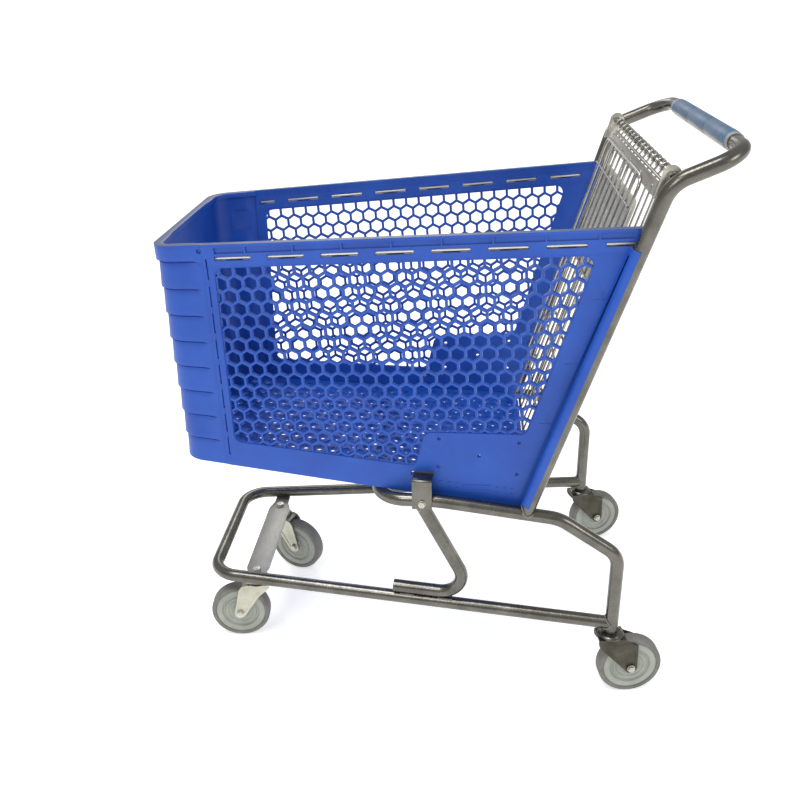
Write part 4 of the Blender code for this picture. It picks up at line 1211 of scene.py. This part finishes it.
low_half = gate_half(GATE_LOW)
gate_side = [(0.0, GATE_HALF, GATE_TOP), (0.0, GATE_HALF, SHOULDER), (0.0, low_half, GATE_LOW)]
gate_corners = [(0.0, 0.0, GATE_TOP)] + gate_side + mirrored(gate_side[::-1]) + [(0.0, 0.0, GATE_TOP)]
gate_line = bent_path(gate_corners, [0.014, 0.05, 0.020, 0.020, 0.05, 0.014], math.radians(15.0))[:-1]
gate_meshes = [tube_mesh(gate_line, FRAME_R, around=4, cyclic=True)]


def hooked_wire(foot):
    """Upright that runs up the gate and curls over the hinge bar, seen along Y."""
    curl = 0.0075
    loop = [(x, 0.0, z) for x, z in arc_points(0.0, 0.0, curl, range(0, 221, 20))]
    return [(0.0, 0.0, foot), (0.0, 0.0, GATE_TOP - 0.004), (curl * 0.8, 0.0, -0.0065)] + loop


legs = (0.0560, 0.1600)
wires = [s * WIRE_PITCH * (i + 0.5) for i in range(7) for s in (-1.0, 1.0)]
full = [y for y in wires if abs(y) < low_half - 0.004 and not legs[0] < abs(y) < legs[1]]
short = [y for y in wires if legs[0] < abs(y) < legs[1]]
side_wires = [y for y in wires if abs(y) > low_half - 0.004]
hook_wire = tube_mesh(hooked_wire(GATE_LOW), UPRIGHT_R, around=3)
gate_meshes.append(row_mesh(hook_wire, [(0.0, y, 0.0) for y in full], (0.0, 0.0, 0.0), BRIGHT))
half_wire = tube_mesh([(0.0, 0.0, -0.2700), (0.0, 0.0, GATE_LOW)], UPRIGHT_R, around=3)
gate_meshes.append(row_mesh(half_wire, [(0.0, y, 0.0) for y in short], (0.0, 0.0, 0.0), BRIGHT))
head_wire = tube_mesh(hooked_wire(-0.0480), UPRIGHT_R, around=3)
gate_meshes.append(row_mesh(head_wire, [(0.0, y, 0.0) for y in short], (0.0, 0.0, 0.0), BRIGHT))
for y in side_wires:
    foot = SHOULDER - (GATE_HALF - abs(y)) / 0.10
    points = [(0.0, y, p[2]) if p[0] == 0.0 else (p[0], y, p[2]) for p in hooked_wire(max(foot, GATE_LOW))]
    gate_meshes.append(tube_mesh(points, UPRIGHT_R, around=3))
for z in (-0.048, -0.2700, -0.400, -0.520):
    reach = gate_half(z) + 0.001
    gate_meshes.append(tube_mesh([(0.0042, -reach, z), (0.0042, reach, z)], 0.0023, around=4))
gate_mesh = placed(joined(gate_meshes), GATE)
make_piece("gate_wires", gate_mesh, BRIGHT, "gate", ["wire_gate"], crease=40.0)

strip_half = 0.246
strip = plate_mesh([rounded([
    (-strip_half, -0.045), (strip_half, -0.045), (strip_half, -0.021), (-strip_half, -0.021)], 0.003)],
    -0.001, 0.001)
strip = worked(strip, [], bevel=0.0004)
strip_spot = GATE @ Matrix.Translation((-0.0046, 0.0, 0.0)) @ stand_up
STRIP_GREY = mottled_finish(
    "strip_zinc", (0.31, 0.30, 0.26), (0.43, 0.42, 0.37), 20.0, (0.30, 0.5), 0.7, 0.0002, (1.0, 0.3, 1.0))
make_piece("gate_head_strip", placed(strip, strip_spot), STRIP_GREY, "gate", ["gate_strip"])
rivet_dome = [(0.0, 0.0019), (0.0016, 0.0017), (0.0030, 0.0011), (0.0037, 0.0)]
rivet = turned_mesh(rivet_dome + [(0.0037, -0.0004), (0.0, -0.0004)], 16)
rivet_spots = [Vector((-0.0056, y, -0.033)) for y in (-0.22, -0.11, 0.0, 0.11, 0.22)]
rivets = row_mesh(rivet, rivet_spots, (0.0, -math.pi / 2.0, 0.0), BRIGHT)
make_piece("gate_strip_rivets", placed(rivets, GATE), BRIGHT, "gate")


# ---- Child seat --------------------------------------------------------------
# A wire seat back hinged near the foot of the gate, and a moulded seat flap that
# folds up behind it on a thin rod. Small plates on the gate carry both hinges.
SEAT_X, SEAT_LOW, SEAT_TOP, SEAT_HALF = -0.0205, -0.510, -0.028, 0.200
seat_side = [(SEAT_X, SEAT_HALF, SEAT_TOP), (SEAT_X, SEAT_HALF, SEAT_LOW)]
seat_corners = [(SEAT_X, 0.0, SEAT_TOP)] + seat_side + mirrored(seat_side[::-1]) + [(SEAT_X, 0.0, SEAT_TOP)]
seat_line = bent_path(seat_corners, [0.022, 0.012, 0.012, 0.022], math.radians(15.0))[:-1]
seat_meshes = [tube_mesh(seat_line, 0.0030, around=4, cyclic=True)]
seat_wire = tube_mesh([(SEAT_X, 0.0, SEAT_TOP), (SEAT_X, 0.0, SEAT_LOW)], 0.0020, around=3)
seat_spots = [(0.0, s * 0.0222 * (2 * i + 1), 0.0) for i in range(4) for s in (-1.0, 1.0)]
seat_meshes.append(row_mesh(seat_wire, seat_spots, (0.0, 0.0, 0.0), BRIGHT))
for z in (-0.080, -0.240, -0.400):
    cross_ends = [(SEAT_X - 0.0036, side * (SEAT_HALF + 0.001), z) for side in (-1.0, 1.0)]
    seat_meshes.append(tube_mesh(cross_ends, 0.0021, around=4))
make_piece(
    "seat_back_wires", placed(joined(seat_meshes), GATE), BRIGHT, "seat_back", ["seat_back"],
    crease=40.0)

FLAP_X, FLAP_Z, FLAP_HALF, FLAP_TALL = -0.0075, -0.250, 0.172, 0.178
SEAT_PLASTIC = mottled_finish(
    "seat_plastic", (0.42, 0.41, 0.35), (0.51, 0.50, 0.43), 16.0, (0.42, 0.6), 0.0, 0.0003)
flap_top = FLAP_Z + FLAP_TALL
flap_corners = [
    (-FLAP_HALF, FLAP_Z), (FLAP_HALF, FLAP_Z), (FLAP_HALF, flap_top), (-FLAP_HALF, flap_top)]
flap = plate_mesh([rounded(flap_corners, 0.012)], -0.0020, 0.0020)
furrows = []
furrow_end = FLAP_HALF - 0.018
for i in range(5):
    z = FLAP_Z + 0.032 + 0.029 * i
    furrows.append(block(-furrow_end, furrow_end, z - 0.0012, z + 0.0012, -0.03, -0.0012))
slots = []
for y in (-0.10, 0.0, 0.10):
    slots.append(block(y - 0.011, y + 0.011, FLAP_Z + 0.162, FLAP_Z + 0.167, -0.03, 0.03))
barrel_end = [(0.0, FLAP_HALF), (0.0044, FLAP_HALF)]
flap_barrel = turned_mesh(barrel_end + [(r, -h) for r, h in barrel_end[::-1]], 24)
flap_barrel.transform(Matrix.Translation((0.0, FLAP_Z, 0.0)) @ Matrix.Rotation(math.pi / 2.0, 4, "Y"))
flap = worked(flap, [
    ("DIFFERENCE", joined(furrows)), ("DIFFERENCE", joined(slots)), ("UNION", flap_barrel)], bevel=0.0005)
flap_spot = GATE @ Matrix.Translation((FLAP_X, 0.0, 0.0)) @ stand_up
make_piece(
    "seat_flap_panel", placed(flap, flap_spot), SEAT_PLASTIC, "seat_flap", ["seat_flap"])
rod_ends = [(FLAP_X, y, FLAP_Z) for y in (-0.1865, 0.1865)]
make_piece(
    "flap_rod", placed(tube_mesh(rod_ends, 0.0025, around=6), GATE), BRIGHT, "gate",
    ["seat_flap_rod"])


def hinge_ear(hole_x, hole_z, hole_r):
    """Small pressed plate with a rounded nose and an eye."""
    rear, radius = -0.0025, hole_r + 0.0030
    loop = arc_points(hole_x, hole_z, radius, range(90, 271, 12))
    loop += [(rear, hole_z - radius - 0.002), (rear, hole_z + radius + 0.002)]
    eye = ring_points(hole_x, hole_z, hole_r, 24)
    return worked(plate_mesh([loop, eye], -0.0015, 0.0015), [], bevel=0.0003)


for name, y, hole in (
    ("seat_hinge_", 0.150, (SEAT_X, SEAT_LOW, 0.0036)), ("flap_hinge_", 0.182, (FLAP_X, FLAP_Z, 0.0029)),
):
    ear = hinge_ear(*hole)
    for tag, side in (("left", -1.0), ("right", 1.0)):
        spot = GATE @ Matrix.Translation((0.0, side * y, 0.0)) @ UPRIGHT
        make_piece(name + "ear_" + tag, placed(ear, spot), ZINC, "gate", [name + tag])


# ---- Casters -----------------------------------------------------------------
# Pressed steel forks on ball races, moulded hubs with stepped faces and grey rubber
# treads. The rear forks are broad and dark, the front ones narrow and zinc plated.
WHEEL_R, WHEEL_HALF, TRAIL, FORK_TOP = 0.0625, 0.014, 0.0413, 0.134
DARK_STEEL = mottled_finish(
    "fork_dark_steel", (0.050, 0.047, 0.033), (0.092, 0.086, 0.064), 30.0, (0.26, 0.46), 0.85, 0.0003)
FORK_ZINC = mottled_finish(
    "fork_zinc", (0.42, 0.41, 0.32), (0.58, 0.57, 0.47), 26.0, (0.26, 0.44), 0.8, 0.0003)
HUB_GREY = mottled_finish(
    "hub_plastic", (0.285, 0.305, 0.260), (0.365, 0.385, 0.335), 24.0, (0.40, 0.58), 0.0, 0.0002)
TREAD = mottled_finish(
    "tread_rubber", (0.135, 0.132, 0.118), (0.205, 0.200, 0.180), 34.0, (0.55, 0.8), 0.0, 0.0005)


def fork_outline(front, shrink=0.0):
    """Cheek of a fork from the side: crown on top, tapering down round the axle."""
    tip = arc_points(TRAIL, WHEEL_R, 0.012 - shrink, range(0, -151, -15))
    s = shrink
    if front:
        return [(0.026 - s, FORK_TOP), (0.034 - s, 0.130), (0.040 - s, 0.122)] + tip + [
            (-0.002 + s, 0.105 + s), (-0.020 + s, 0.122 + s), (-0.026 + s, 0.128 + s),
            (-0.026 + s, FORK_TOP)]
    return [(0.026 - s, FORK_TOP), (0.031 - s, 0.1265 - s), (0.0515 - s, 0.1175 - s)] + tip + [
        (-0.020 + s, 0.112 + s), (-0.0255 + s, 0.120 + s), (-0.027 + s, 0.128 + s), (-0.026 + s, FORK_TOP)]


def fork_mesh(front):
    """Bent from one sheet: the blank is cut, its cheeks folded down, a shallow panel pressed in."""
    cheek, sheet = 0.0175, 0.0030
    outer = cheek + sheet
    body = plate_mesh([fork_outline(front)], -outer, outer, UPRIGHT)
    space = block(-0.06, 0.09, -cheek, cheek, 0.0, FORK_TOP - sheet)
    steps = [("DIFFERENCE", space)]
    dents = []
    for side in (-1.0, 1.0):
        dent = plate_mesh([fork_outline(front, 0.0052)], outer - 0.0008, outer + 0.01)
        dent.transform(UPRIGHT if side < 0.0 else Matrix.Diagonal((1.0, -1.0, 1.0, 1.0)) @ UPRIGHT)
        if side > 0.0:
            dent.flip_normals()
        dents.append(worked(dent, [("DIFFERENCE", block(-0.1, 0.1, -0.1, 0.1, 0.1180, 0.2))]))
    steps.append(("DIFFERENCE", joined(dents)))
    bore = turned_mesh([(0.0, 0.03), (0.0056, 0.03), (0.0056, -0.03), (0.0, -0.03)], 24)
    steps.append(("DIFFERENCE", placed(bore, Matrix.Translation((TRAIL, 0.0, WHEEL_R)) @ UPRIGHT)))
    steps.append(("DIFFERENCE", placed(bore, Matrix.Translation((0.0, 0.0, FORK_TOP)))))
    return worked(body, steps, bevel=0.0008, crease=40.0)


def race_mesh(top, front):
    """Ball race between fork and frame: a pressed cup, its rolled edge and the seam of balls."""
    low = FORK_TOP + 0.0004
    wide = 0.0260 if front else 0.0250
    profile = [
        (0.0053, top), (0.0170, top), (0.0205, top - 0.0008), (wide - 0.0030, low + 0.0042),
        (wide - 0.0006, low + 0.0034), (wide, low + 0.0026), (wide, low + 0.0014),
        (wide - 0.0010, low + 0.0006),
        (wide - 0.0042, low + 0.0003), (0.0053, low),
    ]
    return turned_mesh(profile, 48, closed=True)


def hub_mesh():
    """Moulded hub: bearing boss, groove, inner ring, groove and raised outer ring on each face."""
    half = WHEEL_HALF
    face = [
        (0.0053, half), (0.0125, half), (0.0135, half - 0.0008), (0.0150, half - 0.0030),
        (0.0165, half - 0.0032),
        (0.0180, half - 0.0024), (0.0215, half - 0.0024), (0.0230, half - 0.0040), (0.0270, half - 0.0044),
        (0.0285, half - 0.0030), (0.0325, half - 0.0030), (0.0342, half - 0.0050), (0.0385, half - 0.0050),
        (0.0402, half - 0.0016), (0.0485, half - 0.0010), (0.0512, half - 0.0014), (0.0522, half - 0.0022),
    ]
    return turned_mesh(face + [(r, -h) for r, h in face[::-1]], 64, closed=True)


def tread_mesh():
    """Moulded tread with rounded shoulders and a faint line where the mould parts."""
    inner, half, shoulder = 0.0525, WHEEL_HALF, 0.0055
    bead = [(inner, half - 0.0012), (0.0540, half - 0.0004)]
    side = arc_points(WHEEL_R - shoulder, half - shoulder, shoulder, range(90, -1, -15))
    upper = bead + side + [(WHEEL_R, 0.0004), (WHEEL_R - 0.0003, 0.0)]
    return turned_mesh(upper + [(r, -h) for r, h in upper[-2::-1]], 72, closed=True)


rear_fork, front_fork = fork_mesh(False), fork_mesh(True)
hub, tread = hub_mesh(), tread_mesh()
cheek_out = 0.0205
axle_head = bolt_mesh(0.0068, 0.0044, 0.0078, 0.0006)
axle_nut = bolt_mesh(0.0068, 0.0042, 0.0078, 0.0010)
shank_end = [(0.0, cheek_out), (0.0048, cheek_out)]
shank = turned_mesh(shank_end + [(r, -h) for r, h in shank_end[::-1]], 24)
head_spot = Matrix.Translation((0.0, 0.0, cheek_out + 0.0013))
TURNED_OVER = Matrix.Rotation(math.pi, 4, "X")
axle = joined([shank, placed(axle_head, head_spot), placed(axle_nut, TURNED_OVER @ head_spot)])
for tag, stem, side, heading in (
    ("rear_left", REAR_LEG, -1.0, 7.9), ("rear_right", REAR_LEG, 1.0, 15.3),
    ("front_left", FRONT_STEM, -1.0, 184.8), ("front_right", FRONT_STEM, 1.0, -19.5),
):
    front = stem is FRONT_STEM
    swivel = Matrix.Translation((stem[0], side * stem[1], 0.0))
    swivel = swivel @ Matrix.Rotation(math.radians(heading), 4, "Z")
    hub_spot = swivel @ Matrix.Translation((TRAIL, 0.0, WHEEL_R)) @ UPRIGHT
    steel = FORK_ZINC if front else DARK_STEEL
    fork = placed(front_fork if front else rear_fork, swivel)
    make_piece("caster_fork_" + tag, fork, steel, "caster_" + tag, ["fork_" + tag])
    top = PLATE_TOP - SHEET - 0.0003 if front else LEG_BOTTOM - 0.0003
    race = placed(race_mesh(top, front), swivel)
    make_piece("ball_race_" + tag, race, SATIN_STEEL, "frame", ["caster_cup_" + tag])
    pin_foot = FORK_TOP - 0.0075
    pin_head = top + 0.0040 if front else top
    pin = turned_mesh([
        (0.0, pin_head), (0.0049, pin_head), (0.0049, pin_foot + 0.003), (0.0060, pin_foot + 0.0008),
        (0.0050, pin_foot), (0.0, pin_foot)], 24)
    nut_spot = Matrix.Translation((0.0, 0.0, FORK_TOP - 0.0043)) @ TURNED_OVER
    pieces = [pin, placed(bolt_mesh(0.0090, 0.0040, 0.0095, 0.0002), nut_spot)]
    if front:
        head_place = Matrix.Translation((0.0, 0.0, PLATE_TOP + 0.0014))
        head_place = head_place @ Matrix.Rotation(math.radians(17.0), 4, "Z")
        pieces.append(placed(bolt_mesh(0.0088, 0.0048, 0.0098, 0.0012), head_place))
    make_piece(
        "king_pin_" + tag, placed(joined(pieces), swivel), ZINC, "frame",
        ["king_bolt_" + tag])
    make_piece(
        "axle_pin_" + tag, placed(axle, hub_spot), ZINC, "caster_" + tag,
        ["axle_bolt_" + tag])
    make_piece(
        "wheel_hub_" + tag, placed(hub, hub_spot), HUB_GREY, "wheel_" + tag,
        ["hub_" + tag])
    make_piece(
        "wheel_tread_" + tag, placed(tread, hub_spot), TREAD, "wheel_" + tag,
        ["tyre_" + tag])
